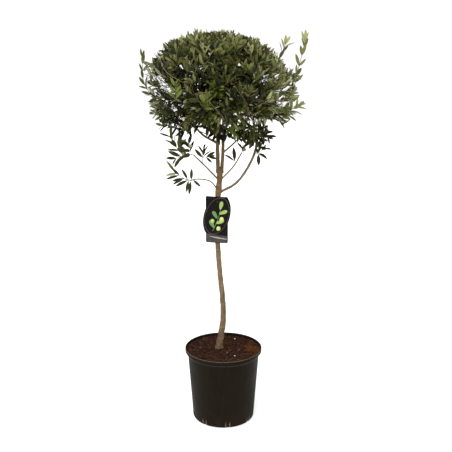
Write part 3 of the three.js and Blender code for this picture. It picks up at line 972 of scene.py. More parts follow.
BOUGHS = (
    Limb("bough_right_low", ((-14, -1, 846), (48, -6, 884), (103, -5, 972), (119, 0, 1040)), (4.4, 4.0)),
    Limb("twig_right", ((-12, -3, 888), (37, -14, 943), (63, -20, 988)), (2.7, 2.2)),
    Limb("bough_left_low", ((-15, -3, 890), (-53, -14, 932), (-84, -20, 964), (-101, -22, 981)), (3.1, 2.4)),
    Limb("twig_left", ((-17, -4, 854), (-46, -16, 889), (-91, -26, 898), (-112, -30, 894)), (2.4, 1.9)),
    Limb("bough_right_high", ((-1, 4, 985), (30, -12, 1014), (51, -32, 1036), (78, -60, 1060)), (3.0, 2.4)),
    Limb(
        "bough_left_high",
        ((-23, -8, 1022), (-62, -12, 1043), (-93, -10, 1071), (-120, -6, 1098)),
        (4.0, 3.2),
    ),
    Limb("bough_front_left", ((-23, -9, 1040), (-38, -38, 1062), (-55, -72, 1095)), (3.2, 2.6)),
    Limb("bough_back_left", ((-24, -9, 1058), (-38, 32, 1072), (-52, 75, 1102)), (3.2, 2.6)),
    Limb("bough_back_right", ((0, 10, 1048), (26, 40, 1064), (55, 76, 1097)), (3.2, 2.6)),
)


@dataclass(frozen=True)
class Trunk:
    """The trunk: a true taper with a root flare, an old pruning collar and a swollen fork."""

    spine: tuple[Point, ...] = (
        (-17, 9, 225), (-13, 9, 285), (-1, 9, 370), (-3, 6, 455), (-14, 4, 570), (-21, 2, 700),
        (-18, 0, 835), (-12, 0, 905), (-12, 0, 950),
    )
    soil_height: float = 262.0
    fork_height: float = 932.0
    shoulder_drop: float = 16.0
    dome: float = 22.0
    radius: float = 9.0
    sides: int = 44
    rings: tuple[float, ...] = (301, 345, 372, 436, 508, 553, 611, 640, 852, 874)

    def centre(self, height: Array) -> Array:
        """The middle of the trunk at heights in millimetres, in metres."""
        path = smooth_path(MM * np.array(self.spine), 400)
        height = MM * height
        return np.stack([np.interp(height, path[:, 2], path[:, i]) for i in (0, 1)] + [height], axis=1)

    def bare_radius(self, height: Array) -> Array:
        """The radius at a height, both in millimetres.

        9 + 4.5 e^(-above/110) + 3 e^(-above/12) for taper and flare, 2.2 e^-((h-852)/20)^2 for
        the collar, and 3 e^(-below/25) under the fork.
        """
        above = np.maximum(height - self.soil_height, 0)
        below = np.maximum(self.fork_height - height, 0)
        flare = 4.5 * np.exp(-above / 110) + 3 * np.exp(-above / 12)
        return self.radius + flare + 2.2 * np.exp(-(((height - 852) / 20) ** 2)) + 3 * np.exp(-below / 25)

    def surface(self, rng: Random) -> tuple[Patch, Array]:
        """The trunk with its relief, and how strongly each point lies on a pale ring."""
        shoulder = self.fork_height - self.shoulder_drop
        shaft = np.linspace(self.soil_height - 5, shoulder, 290)
        dome = shoulder + self.dome * np.sin(np.linspace(0, math.pi / 2, 14)[1:])
        height = np.concatenate([shaft, dome])[:, None]
        angle = around(self.sides)[None]
        rounding = np.sqrt(np.clip(1 - (np.maximum(height - shoulder, 0) / 22.3) ** 2, 0.01, 1))
        above = np.maximum(height - self.soil_height, 0)
        along = MM * height
        fissures = -np.abs(waves(angle, along, rng, (3, 9), (0.09, 0.3)))
        count = len(self.rings)
        offsets = np.array(self.rings)[:, None, None] + 2.0 * np.cos(angle + np.arange(count)[:, None, None])
        ring = np.exp(-(((height[None] - offsets) / 2.6) ** 2)) * rng.uniform(0.4, 1.0, (count, 1, 1))
        lobes = (0.8 * np.cos(4 * angle + 0.6) + 0.7 * np.cos(3 * angle + 2.0) - 1.2) * np.exp(-above / 16)
        relief = (
            lobes
            + 0.55 * fissures
            + 0.5 * waves(angle, along, rng, (1, 3), (0.03, 0.11))
            + 0.16 * waves(angle, along, rng, (6, 14), (0.008, 0.03))
            + 0.6 * ring.sum(axis=0)
        )
        grown = MM * (self.bare_radius(height) * rounding + relief * np.minimum(rounding * 1.5, 1))
        patch = tubes(self.centre(height[:, 0])[None], grown[None], self.sides)
        marks = np.clip(ring.sum(axis=0), 0, 1) * (0.6 + 0.4 * np.cos(angle * 2 + along * 300))
        return patch, marks.ravel()


# Each bark's upper colour: a warmer brown on the trunk, near-black painted shade on the leaders and young
# boughs inside the crown.
LIMB_BARKS = (
    BarkFinish(
        "bark_trunk", (70, 54, 38), (124, 102, 79), (164, 144, 118), (100, 92, 60), (108, 84, 56), 0.78, 0.86
    ),
    BarkFinish(
        "bark_leaders", (66, 52, 34), (114, 93, 65), (142, 124, 98), (90, 82, 50), (40, 31, 20), 1.02, 1.09
    ),
    BarkFinish(
        "bark_young", (72, 60, 44), (122, 105, 80), (140, 124, 98), (92, 88, 56), (44, 34, 22), 0.985, 1.1
    ),
)

# bark_twigs is the darker, shaded copy of the twig bark: painted shade for the twigs among the leaves,
# near-black higher up; bark_bare_twigs is the lighter copy for the bare twigs in front.
TWIG_BARKS = (
    BarkFinish(
        "bark_twigs", (62, 52, 37), (98, 82, 58), (124, 108, 84), (80, 76, 46), (46, 36, 24), 0.98, 1.1
    ),
    BarkFinish(
        "bark_bare_twigs", (84, 72, 52), (122, 107, 80), (146, 132, 106), (100, 93, 62), (128, 112, 84),
        0.98, 1.1,
    ),
)


class Framework:
    """The woody frame: trunk, two leaders and the boughs, each a mesh with the bark's relief."""

    def __init__(self, effects: Effects) -> None:
        """Makes the barks."""
        self.old_bark, self.leader_bark, self.young_bark = (finish.material(effects) for finish in LIMB_BARKS)

    def build(self) -> None:
        """Builds each limb's piece and hands it over for its node."""
        rng = np.random.default_rng(11)
        self.put("trunk", *Trunk().surface(rng), self.old_bark, "old_bark")
        for limb in (*LEADERS, *BOUGHS):
            bark = self.leader_bark if limb in LEADERS else self.young_bark
            self.put(limb.name, *limb.surface(rng), bark, "young_bark")

    def put(self, node: str, patch: Patch, rings: Array, finish: Material, slot: str) -> None:
        """One limb's piece, with its rings as a point attribute."""
        piece = put_mesh(f"bark_{node}", [patch], [finish], smooth=50)
        values = piece.data.attributes.new("rings", "FLOAT", "POINT").data
        values.foreach_set("value", rings.astype(np.float32))
        hand_over(piece, slot, node)


# ---- Crown ----


class Mass(NamedTuple):
    """A mass of foliage: its node, its middle and the limb whose tip its stem meets."""

    name: str
    middle: Array
    feeder: Limb


@dataclass(frozen=True)
class Crown:
    """The crown: a steep dome over a boxier underside, filled by branchlets from inside forks.

    Its surface is a superellipse turned about Z: (r/R)^p + (h/H)^p = 1, with one H and p above
    the middle height and another below it, and the dome moved a little to the left.
    """

    middle: float = 1220 * MM
    radius: float = 268 * MM
    above: Pair = (194 * MM, 1.5)
    below: Pair = (165 * MM, 3.2)
    offset: float = -26 * MM
    offset_from: float = 60 * MM
    tips: int = 80
    bare_below: float = -0.8
    fork_part: float = 0.44
    heart_part: float = 0.6
    rough: float = 0.07
    bow: float = 0.12
    ring_radius: float = 150 * MM
    ring_height: float = 1195 * MM
    top_middles: tuple[Point, Point] = ((-88.0, -20.0, 1308.0), (66.0, 15.0, 1308.0))

    def centre(self) -> Array:
        """The middle of the crown."""
        return np.array([0.0, 0.0, self.middle])

    def half(self, rise: Array) -> tuple[Array, Array]:
        """The height H and the power p of the half that lies at a rise over the middle height."""
        return tuple(np.where(rise > 0, up, down) for up, down in zip(self.above, self.below))

    def shift(self, rise: Array) -> Array:
        """How far the dome is moved at a rise over the middle height."""
        return self.offset * ramp(rise, 0, self.offset_from)

    def surface(self, direction: Array) -> Array:
        """Points of the crown's surface in given directions, (n, 3)."""
        reach, power = self.half(direction[:, 2])
        across = np.maximum(np.hypot(direction[:, 0], direction[:, 1]), 1e-6)
        radius = self.radius * across ** (2 / power) / across
        rise = np.sign(direction[:, 2]) * reach * np.abs(direction[:, 2]) ** (2 / power)
        x = radius * direction[:, 0] + self.shift(rise)
        return rows_of(x, radius * direction[:, 1], self.middle + rise)

    def depth(self, points: Array) -> Array:
        """How far out points lie: 0 in the middle, 1 on the surface, more outside."""
        rise = points[:, 2] - self.middle
        reach, power = self.half(rise)
        across = np.hypot(points[:, 0] - self.shift(rise), points[:, 1]) / self.radius
        return (across**power + (np.abs(rise) / reach) ** power) ** (1 / power)

    def tip_points(self) -> Array:
        """Points spread evenly over the surface by the golden angle, without its bare middle below."""
        i = np.arange(self.tips)
        height = 1 - (2 * i + 1) / self.tips
        across = np.sqrt(1 - height**2)
        direction = rows_of(across * np.cos(i * GOLDEN), across * np.sin(i * GOLDEN), height)
        return self.surface(direction[height > self.bare_below])

    def masses(self) -> list[Mass]:
        """The masses: six in a ring, right first, and two on top."""
        limbs = {limb.name: limb for limb in BOUGHS}
        ring = (
            ("right", "bough_right_low"),
            ("back_right", "bough_back_right"),
            ("back_left", "bough_back_left"),
            ("left", "bough_left_high"),
            ("front_left", "bough_front_left"),
            ("front_right", "bough_right_high"),
        )
        masses = []
        for turn, (place, feeder) in zip(around(len(ring)), ring):
            out = self.ring_radius * np.array([math.cos(turn), math.sin(turn), 0.0])
            masses.append(Mass(f"foliage_{place}", out + UP * self.ring_height, limbs[feeder]))
        for side, middle, leader in zip(("left", "right"), self.top_middles, LEADERS):
            masses.append(Mass(f"foliage_top_{side}", MM * np.array(middle), leader))
        return masses


class Twig(NamedTuple):
    """A twig through points in millimetres: its leaves' tint and size, and where they start."""

    through: tuple[Point, ...]
    tint: LeafTint = DEEP
    size: float = 0.85
    first: float = 0.2
    spacing: float = 9
    foot: float = 1.6
    upright: bool = False


# Each twig's tint is given by where it sits: SHADE and DEEP are painted shade for twigs inside or under the
# crown, LIGHT and TOP painted light for twigs outside and on top; YOUNG, YOUNG_PALE and UNDER_PALE are leaf
# colours of their own.
YOUNG_SHOOTS = {
    "foliage_top_left": (
        Twig(((-72, 40, 1310), (-84, 48, 1345), (-89, 52, 1378)), LIGHT, 0.8, 0.4, 10, 1.1, True),
        Twig(((-62, 48, 1310), (-70, 56, 1345), (-73, 60, 1380)), TOP, 0.8, 0.4, 10, 1.1, True),
        Twig(((-84, -30, 1300), (-106, -36, 1338), (-118, -40, 1362)), TOP, 0.85, 0.4, 9, 1.1, True),
        Twig(((-90, -10, 1310), (-108, -12, 1345), (-112, -12, 1366)), LIGHT, 0.8, 0.4, 10, 1.1, True),
        Twig(((-120, 0, 1290), (-160, -5, 1308), (-186, -8, 1326)), MIDDLE, 0.9, 0.35, 10, 1.2),
    ),
    "foliage_top_right": (
        Twig(((-12, 48, 1320), (-4, 54, 1350), (2, 58, 1382)), TOP, 0.85, 0.4, 9, 1.1, True),
        Twig(((70, 10, 1310), (80, 14, 1334), (86, 16, 1356)), LIGHT, 0.85, 0.4, 10, 1.1, True),
        Twig(((16, 10, 1320), (24, 12, 1350), (27, 14, 1372)), MIDDLE, 0.8, 0.4, 10, 1.1, True),
        Twig(((40, 30, 1310), (48, 34, 1344), (52, 36, 1368)), LIGHT, 0.8, 0.4, 10, 1.1, True),
        Twig(((30, -60, 1290), (40, -110, 1320), (44, -130, 1344)), LIGHT, 0.95, 0.2, 8, 1.2),
        Twig(((60, -60, 1290), (84, -100, 1316), (92, -116, 1336)), MIDDLE, 0.95, 0.2, 8, 1.2),
        Twig(((10, -80, 1280), (10, -140, 1310), (8, -160, 1330)), MIDDLE, 0.95, 0.2, 8, 1.2),
        Twig(((30, -70, 1250), (34, -130, 1262), (30, -180, 1290)), MIDDLE, 0.95, 0.2, 8, 1.2),
        Twig(((80, -70, 1250), (100, -130, 1262), (106, -160, 1290)), MIDDLE, 0.95, 0.2, 8, 1.2),
        Twig(((24, -10, 1300), (46, -24, 1326), (78, -44, 1334)), MIDDLE, 1.0, 0.3, 8, 1.2),
        Twig(((40, 20, 1300), (60, 10, 1326), (84, -8, 1338)), DEEP, 1.0, 0.3, 8, 1.2),
    ),
    "foliage_right": (
        Twig(
            ((112, 0, 1195), (218, -8, 1132), (236, -10, 1200), (254, -10, 1280), (271, -10, 1346)),
            LIGHT, 0.95, 0.45, 31, 2.2, True,
        ),
        Twig(((268, -10, 1334), (271, -11, 1346), (273, -12, 1360)), TOP, 0.95, 0.3, 9, 1.0, True),
        Twig(
            ((112, -8, 1195), (160, -25, 1240), (188, -25, 1306), (202, -25, 1340)),
            MIDDLE, 0.85, 0.4, 30, 2.0, True,
        ),
        Twig(((198, -25, 1330), (202, -26, 1340), (206, -27, 1353)), TOP, 0.95, 0.3, 9, 1.0, True),
        Twig(((120, -20, 1120), (200, -50, 1125), (252, -60, 1152)), YOUNG_PALE, 1.0, 0.5, 12),
        Twig(((150, -30, 1114), (200, -55, 1119), (224, -60, 1118)), LIGHT, 0.9, 0.45, 12),
        Twig(((100, -20, 1080), (122, -30, 1062), (150, -34, 1046)), DEEP, 0.9, 0.3, 11),
        Twig(((119, 0, 1040), (130, -22, 1046), (146, -40, 1058)), DEEP, 0.85, 0.2, 10),
        Twig(((116, -2, 1020), (104, -20, 1026), (92, -32, 1040)), DEEP, 0.85, 0.2, 10),
        Twig(((118, -1, 1030), (128, 12, 1035), (150, 22, 1050)), SHADE, 0.85, 0.2, 10),
        Twig(((111, -4, 1000), (118, -22, 1008), (132, -34, 1016)), DEEP, 0.8, 0.3, 10),
        Twig(((119, 0, 1040), (112, -14, 1052), (100, -24, 1068)), DEEP, 0.85, 0.1),
    ),
    "foliage_left": (
        Twig(
            ((-112, -4, 1225), (-222, -25, 1172), (-264, -28, 1225), (-266, -28, 1308)),
            MIDDLE, 0.82, 0.45, 21, 2.0, True,
        ),
        Twig(((-262, -28, 1262), (-242, -45, 1279), (-200, -75, 1284)), UNDER_PALE, 1.12, 0.25, 19),
        Twig(((-110, -40, 1120), (-170, -60, 1116), (-234, -60, 1124)), YOUNG, 0.74, 0.45, 8),
        Twig(((-110, -30, 1172), (-165, -40, 1168), (-212, -40, 1150)), DEEP, 1.0, 0.5, 12),
        Twig(((-120, -10, 1098), (-140, -20, 1082), (-166, -26, 1072)), DEEP, 0.85, 0.2, 10),
        Twig(((-100, -10, 1078), (-122, -30, 1072), (-140, -40, 1064)), SHADE, 0.85, 0.2, 10),
        Twig(((-150, -20, 1100), (-180, -30, 1086), (-208, -34, 1082)), MIDDLE, 0.85, 0.3, 10),
    ),
    "foliage_front_left": (
        Twig(((-60, -150, 1130), (-62, -205, 1150), (-50, -222, 1188)), YOUNG, 0.85, 0.5, 10),
        Twig(((-130, -140, 1160), (-148, -185, 1180), (-150, -195, 1220)), YOUNG, 0.76, 0.5),
        Twig(((-60, -110, 1100), (-75, -150, 1112), (-62, -160, 1134)), YOUNG, 0.72, 0.5),
        Twig(((-40, -50, 1090), (-52, -80, 1086), (-50, -100, 1080))),
        Twig(((-20, -40, 1080), (-24, -80, 1066), (-16, -100, 1052)), SHADE),
        Twig(((-70, -60, 1094), (-92, -80, 1092), (-108, -90, 1088))),
    ),
    "foliage_front_right": (
        Twig(((5, -70, 1100), (20, -115, 1088), (38, -135, 1066)), YOUNG, 0.85, 0.4, 11),
        Twig(((20, -30, 1090), (40, -60, 1075), (62, -80, 1056))),
        Twig(((50, -40, 1075), (72, -62, 1062), (88, -80, 1045))),
        Twig(((70, -60, 1085), (90, -90, 1070), (104, -110, 1056)), MIDDLE),
        Twig(((0, -50, 1085), (12, -90, 1072), (14, -105, 1056)), SHADE, 0.8),
        Twig(((78, -60, 1062), (84, -56, 1046), (96, -50, 1032))),
        Twig(((52, -32, 1036), (58, -40, 1046), (60, -52, 1062))),
    ),
}

BARE_TWIGS = {
    "foliage_front_left": (
        ((-198, -150, 1311), (-190, -162, 1281), (-165, -178, 1254), (-127, -180, 1233), (-80, -140, 1212)),
        ((-45, -224, 1178), (-28, -222, 1158), (-12, -212, 1140), (2, -180, 1120), (2, -130, 1090)),
        ((-30, -226, 1206), (-56, -224, 1202), (-76, -206, 1200), (-100, -160, 1190)),
        ((-137, -120, 1115), (-109, -90, 1090), (-91, -60, 1073), (-58, -16, 1052)),
    ),
    "foliage_front_right": (
        ((35, -226, 1225), (48, -222, 1206), (64, -212, 1184), (78, -180, 1160), (84, -130, 1125)),
        ((156, -186, 1181), (134, -192, 1171), (104, -184, 1156), (84, -120, 1130)),
    ),
}

# The low sprays' DEEP tints are painted shade under the crown.
LOW_SPRAYS = {
    "spray_left_low": (
        Twig(
            ((-101, -22, 981), (-132, -26, 984), (-158, -30, 1008), (-178, -30, 1044)),
            MIDDLE, 1.05, 0.1, 14,
        ),
        Twig(((-118, -24, 981), (-140, -36, 978), (-160, -42, 972)), DEEP, 1.0, 0.35, 15, 1.1),
        Twig(((-108, -22, 981), (-112, -34, 998), (-118, -42, 1020)), DEEP, 1.0, 0.35, 14, 1.1),
        Twig(((-150, -29, 1000), (-142, -38, 1020), (-140, -42, 1040)), MIDDLE, 1.0, 0.3, 15, 1.1),
    ),
    "spray_left_mid": (
        Twig(((-72, -18, 952), (-70, -34, 975), (-67, -38, 1000)), DEEP, 0.9, 0.45, 9, 1.2),
        Twig(((-70, -32, 974), (-58, -38, 976), (-48, -42, 977)), DEEP, 0.8, 0.5, 11, 0.9),
    ),
    "spray_left_star": (
        Twig(
            ((-112, -30, 894), (-134, -35, 901), (-148, -38, 912), (-172, -43, 936)),
            MIDDLE, 0.9, 0.92, 30, 1.7,
        ),
    ),
    "spray_right_mid": (
        Twig(((63, -20, 988), (70, -24, 1002), (78, -27, 1018)), DEEP, 0.95, 0.1, 9, 1.1),
        Twig(((44, -15, 951), (40, -17, 957), (36, -19, 966)), DEEP, 1.05, 0.5, 14, 0.9, True),
    ),
    "spray_right_low": (
        Twig(((106, -4, 980), (122, -16, 988), (140, -22, 1004)), DEEP, 0.85, 0.4, 13, 1.2),
        Twig(((108, -6, 990), (118, -14, 986), (128, -18, 976)), DEEP, 1.1, 0.7, 12, 1.0),
    ),
}

FRONT_GAPS = (
    (64.6, 1325.7, 6.1), (55.1, 1276.8, 8.1), (-141.5, 1275.8, 6.4), (-75.4, 1274.5, 4.4),
    (-209.5, 1233.4, 8.8), (-198.1, 1213.5, 8.8), (-184.9, 1196.9, 7.4), (-168.7, 1193.9, 6.8),
    (-129.9, 1187.6, 5.4), (-141.3, 1147.1, 6.4), (-190.7, 1159.8, 8.8), (-177.2, 1151.8, 6.8),
    (145.1, 1244.6, 6.8), (141.0, 1225.4, 7.8), (181.1, 1244.9, 5.1), (180.3, 1193.9, 5.1),
    (210.2, 1202.2, 5.4), (187.4, 1151.8, 6.8), (215.5, 1155.5, 7.4), (38.5, 1116.7, 4.2),
    (59.9, 1123.2, 3.8), (90.4, 1097.8, 8.1), (50.5, 1084.2, 3.4), (156.4, 1087.6, 8.1),
    (180.2, 1091.0, 6.8), (-109.9, 1246.6, 3.7), (-47.3, 1320.2, 3.7), (-144.1, 1097.8, 5.4),
    (-167.3, 1135.0, 6.8), (117.9, 1178.6, 4.1), (199.2, 1175.2, 4.4), (-88.3, 1221.8, 3.4),
    (-58.9, 1067.2, 6.1),
)


class SingleLeaf(NamedTuple):
    """One leaf from a root to a tip, in millimetres."""

    root: Point
    tip: Point
    tint: LeafTint = DEEP


# DEEP on these leaves is painted shade under the crown.
STAR_LEAVES = (
    SingleLeaf((-119, -31, 895), (-128, -38, 854)),
    SingleLeaf((-113, -30, 893), (-116, -42, 846)),
    SingleLeaf((-104, -29, 896), (-77, -44, 875)),
    SingleLeaf((-121, -32, 895), (-164, -46, 878)),
    SingleLeaf((-134, -35, 901), (-177, -30, 893)),
    SingleLeaf((-135, -35, 901), (-174, -48, 885)),
    SingleLeaf((-150, -38, 913), (-196, -50, 904)),
    SingleLeaf((-156, -39, 920), (-200, -34, 914), UNDER_PALE),
    SingleLeaf((-148, -38, 912), (-177, -46, 942)),
    SingleLeaf((-170, -42, 934), (-192, -50, 966), YOUNG),
    SingleLeaf((-122, -32, 897), (-140, -41, 936)),
    SingleLeaf((-110, -30, 895), (-108, -40, 936)),
)


class SkyGaps:
    """Straight openings through the crown, where light comes through between the leaves.

    Each is a line with a radius. The first ones open towards the front; the others cross the
    crown from side to side at random heights.
    """

    side_gaps = 40
    turns = (-1.0, 1.0)
    shifts = (-0.22, 0.22)
    heights = (1.09, 1.34)
    radii = (4, 8)
    leaf_room = 2.5 * MM

    def __init__(self, eye: Array) -> None:
        """Works out the lines, the front ones from where one looks at the tree."""
        self.eye = eye
        front = MM * np.array(FRONT_GAPS)
        ahead = unit(rows_of(front[:, 0], 0 * front[:, 0], front[:, 1]) - eye)
        rng = np.random.default_rng(77)
        turn = rng.uniform(*self.turns, self.side_gaps)
        shift = rng.uniform(*self.shifts, self.side_gaps)
        height = rng.uniform(*self.heights, self.side_gaps)
        across = compass(turn, rng.normal(0, 0.04, self.side_gaps))
        start = rows_of(-np.sin(turn) * shift, np.cos(turn) * shift, height)
        self.starts = np.concatenate([np.broadcast_to(eye, ahead.shape), start])
        self.ahead = np.concatenate([ahead, unit(across)])
        self.radius = np.concatenate([front[:, 2], rng.uniform(*self.radii, self.side_gaps) * MM])

    def cross(self, roots: Array, tips: Array) -> Array:
        """Which leaves reach into a gap: the distance |(p - start) x ahead| at four places along them."""
        crossed = np.zeros(len(roots), bool)
        for part in (0.1, 0.4, 0.7, 0.95):
            away = blend(roots, tips, part)[:, None] - self.starts[None]
            distance = np.linalg.norm(np.cross(away, self.ahead[None]), axis=2)
            crossed |= (distance < self.radius + self.leaf_room).any(axis=1)
        return crossed


@dataclass(frozen=True)
class Habit:
    """How shoots grow from a branchlet, in metres and as shares of the branchlet or the crown.

    Masses on top or in front have twice as many. Some low shoots hang, and every other one on top
    lies flatter. A shoot ends at its own limit of depth in the crown, less on the left and on top.
    """

    side_shoots: int = 11
    top_from: float = 1.26
    front_to: float = -0.1
    first_at: float = 0.08
    last_at: float = 0.74
    unevenness: float = 0.03
    hang_below: Pair = (1.17, -0.06)
    hang: float = 1.1
    hanging: float = 0.4
    flatter: float = 0.3
    steepness: Pair = (-0.6, 1.4)
    length: Pair = (52 * MM, 108 * MM)
    shortest: float = 24 * MM
    steps: int = 6
    limit: Pair = (0.83, 0.985)
    limit_noise: float = 0.04
    left_cut: float = 0.08
    left_cut_to: float = 1.2
    top_cut: float = 0.06
    right_light: float = 1.85
    left_shade: float = 1.1
    mottle: float = 1.05
    young: float = 0.025
    leaf_sizes: Pair = (0.82, 1.05)
    bare_part: float = 0.26
    leaf_spacing: float = 8.5 * MM


class Canopy:
    """The leafy part of the tree: one piece of wood and one of leaves for each mass and spray.

    A leaf may reach leaf_reach times as far out as the crown's surface, and less near its top. It
    leaves a clear space round the lines of sight to a bare bough or twig.
    """

    habit = Habit()
    margin = MM * np.array([7.5, 7.5, 4.5])
    leaf_reach = 1.07
    top_trim = 0.16
    trim_from = (1.375, 0.02)
    bough_clear, twig_clear = 17 * MM, 8 * MM

    def __init__(self, crown: Crown, effects: Effects) -> None:
        """Keeps the crown and makes the twigs' barks and the leaves' colours."""
        self.crown = crown
        self.wood = [finish.material(effects) for finish in TWIG_BARKS]
        self.tints = [tint.finish() for tint in LeafTint]
        self.foliage = Foliage(Leaf())
        broad, long = Leaf(43 * MM, 13 * MM), Leaf(44 * MM, 12.5 * MM)
        self.loose_foliage = Foliage(broad, math.radians(58), math.radians(32), 0.9, 0.9, 0.2, 0.7)
        self.upright_foliage = Foliage(long, math.radians(40), math.radians(16), 0.9, 0.95, 0.2, 0.9)
        self.gaps = SkyGaps(np.array(Studio.camera_place))
        low, high = (np.array(corner) for corner in CAD_BOX)
        self.low, self.high = low + self.margin, high - self.margin
        left_high = next(bough for bough in BOUGHS if bough.name == "bough_left_high").path()
        start, end = int(0.15 * len(left_high)), int(0.68 * len(left_high))
        self.bare = [(left_high[start:end:3], self.bough_clear, 0.4)]
        bare_twigs = [smooth_path(MM * np.array(twig), 16) for twigs in BARE_TWIGS.values() for twig in twigs]
        self.bare += [(path, self.twig_clear, 0.0) for path in bare_twigs]

    def in_box(self, roots: Array, tips: Array) -> Array:
        """Which leaves end within the tree's own box."""
        return ((tips > self.low) & (tips < self.high)).all(axis=1)

    def in_crown(self, roots: Array, tips: Array) -> Array:
        """Which leaves end within the crown's reach and leave its gaps and bare twigs free.

        A bare twig is free when no leaf's middle is near the lines of sight to it.
        """
        ceiling = self.leaf_reach - self.top_trim * ramp(tips[:, 2], *self.trim_from)
        free = self.in_box(roots, tips) & (self.crown.depth(tips) < ceiling) & ~self.gaps.cross(roots, tips)
        middles = blend(roots, tips, 0.6) - self.gaps.eye
        for path, clear, beyond in self.bare:
            sight = path - self.gaps.eye
            far = np.linalg.norm(sight, axis=1)
            along = np.minimum(middles @ unit(sight).T, far + beyond)[..., None]
            free &= np.linalg.norm(middles[:, None] - along * unit(sight), axis=2).min(axis=1) > clear
        return free

    def build(self) -> None:
        """Builds every mass and every low spray."""
        masses = self.crown.masses()
        tips = self.crown.tip_points()
        middles = np.array([mass.middle for mass in masses])
        owner = np.linalg.norm(tips[:, None] - middles[None], axis=2).argmin(axis=1)
        for i, mass in enumerate(masses):
            self.build_mass(mass, tips[owner == i], np.random.default_rng(100 + i))
        for i, (node, twigs) in enumerate(LOW_SPRAYS.items()):
            rng = np.random.default_rng(200 + i)
            wood, leaves = zip(*(self.dress_twig(twig, rng) for twig in twigs))
            star = [self.single_leaves(STAR_LEAVES, rng)] if node == "spray_left_star" else []
            self.put(node, list(wood), [*leaves, *star], "young_foliage")

    def build_mass(self, mass: Mass, tips: Array, rng: Random) -> None:
        """One mass: a stem to its heart, limbs to the forks, branchlets, shoots and leaves."""
        foot, ahead = mass.feeder.end()
        heart = blend(self.crown.centre(), mass.middle, self.crown.heart_part)
        reach = np.linalg.norm(heart - foot)
        stem = bent_paths(foot[None], (foot + ahead * reach / 3)[None], heart[None], 10)
        stem_radius = MM * mass.feeder.radii[1] * np.linspace(1, 0.8, 10)[None]
        forks = blend(self.crown.centre(), tips, self.crown.fork_part)
        ends = blend(tips, forks, self.crown.rough * rng.random((len(tips), 1)))
        gap = np.linalg.norm(forks - heart, axis=1, keepdims=True)
        hearts = np.broadcast_to(heart, forks.shape)
        limbs = bent_paths(hearts, hearts + unit(heart - foot) * gap * 0.35, forks, 8)
        span = np.linalg.norm(ends - forks, axis=1, keepdims=True)
        bends = blend(forks, ends, 0.5) - UP * self.crown.bow * span
        branchlets = bent_paths(forks, bends, ends, 9, self.habit.last_at)
        shoots = self.grow_shoots(forks, bends, ends, rng)
        wood = [
            tubes(stem, stem_radius, 8),
            tapered(limbs, 2.3, 1.7, 6),
            tapered(branchlets, 1.7, 1.0, 5),
            tapered(shoots.paths, 1.0, 0.5, 4),
        ]
        leaves = [self.foliage.dress(shoots, rng, self.in_crown)]
        for twig in YOUNG_SHOOTS.get(mass.name, ()):
            stem, leafage = self.dress_twig(twig, rng)
            wood.append(stem)
            leaves.append(leafage)
        for through in BARE_TWIGS.get(mass.name, ()):
            wood.append(tapered(smooth_path(MM * np.array(through), 24)[None], 0.7, 1.7, 4, finish=1))
        self.put(mass.name, wood, leaves, "foliage")

    def grow_shoots(self, forks: Array, bends: Array, ends: Array, rng: Random) -> Shoots:
        """Side shoots and an end shoot for each branchlet.

        A side shoot leaves its branchlet sideways by the golden angle and curves up and outwards:
        its path is root + L (s d0 + s^2 (d1 - d0) / 2). It is shortened until it stays inside the
        crown's surface.
        """
        habit = self.habit
        on_top = ends[:, 2].mean() > habit.top_from
        in_front = ends[:, 1].mean() < habit.front_to
        per_branch = habit.side_shoots * (2 if on_top or in_front else 1) + 1
        t = np.linspace(habit.first_at, habit.last_at, per_branch)
        t = t + rng.uniform(-habit.unevenness, habit.unevenness, (len(forks), per_branch))
        t = np.clip(t, 0, habit.last_at)[..., None]
        a, b, c = forks[:, None], bends[:, None], ends[:, None]
        roots = ((1 - t) ** 2 * a + 2 * t * (1 - t) * b + t**2 * c).reshape(-1, 3)
        axis = unit(2 * (1 - t) * (b - a) + 2 * t * (c - b)).reshape(-1, 3)
        order = np.tile(np.arange(per_branch), len(forks))
        is_end = order == per_branch - 1
        branch_turn = np.repeat(rng.uniform(0, math.tau, len(forks)), per_branch)
        side = square_to(np.broadcast_to(UP + 0.01, axis.shape), axis)
        side = turn_about(side, axis, branch_turn + order * GOLDEN + rng.normal(0, 0.3, len(order)))
        outwards = unit(roots - self.crown.centre())
        rise = (roots[:, 2:] - self.crown.middle) / self.crown.above[0]
        low = ramp(roots[:, 2:], *habit.hang_below)
        upward = 0.8 + 0.75 * rise + rng.normal(0, 0.2, rise.shape)
        upward = upward - habit.hang * low * (rng.random(rise.shape) < habit.hanging)
        if on_top:
            upward = upward * np.where(order % 2 == 0, habit.flatter, 1.0)[:, None]
        upward = np.clip(upward, *habit.steepness)
        sideways = np.where(is_end, 0.15, 0.95)[:, None]
        first = unit(0.5 * axis + sideways * side + 0.4 * upward * UP)
        last = unit(0.35 * first + 0.4 * outwards + upward * UP + rng.normal(0, 0.12, first.shape))
        length = rng.uniform(*habit.length, len(roots)) * np.where(is_end, 0.9, 1.0)
        limit = np.repeat(rng.uniform(*habit.limit, len(forks)), per_branch)
        limit = limit + rng.normal(0, habit.limit_noise, len(roots))
        limit -= habit.left_cut * ramp(-roots[:, 0], 0.08, 0.08) * (roots[:, 2] < habit.left_cut_to)
        limit -= habit.top_cut * ramp(rise[:, 0], 0.5, 0.3)
        for _ in range(8):
            tip = roots + length[:, None] * (first + last) / 2
            length = np.where(self.crown.depth(tip) > limit, length * 0.88, length)
        tip = roots + length[:, None] * (first + last) / 2
        keep = (length > habit.shortest) & (self.crown.depth(tip) < limit + 0.04)
        keep &= self.in_box(roots, tip * np.array([1.03, 1.03, 1.002]))
        s = np.linspace(0, 1, habit.steps)[None, :, None]
        reach = length[:, None, None]
        paths = roots[:, None] + reach * (s * first[:, None] + s**2 / 2 * (last - first)[:, None])
        tint = self.shoot_tints(tip, rise[:, 0], rng)
        size = rng.uniform(*habit.leaf_sizes, len(roots))
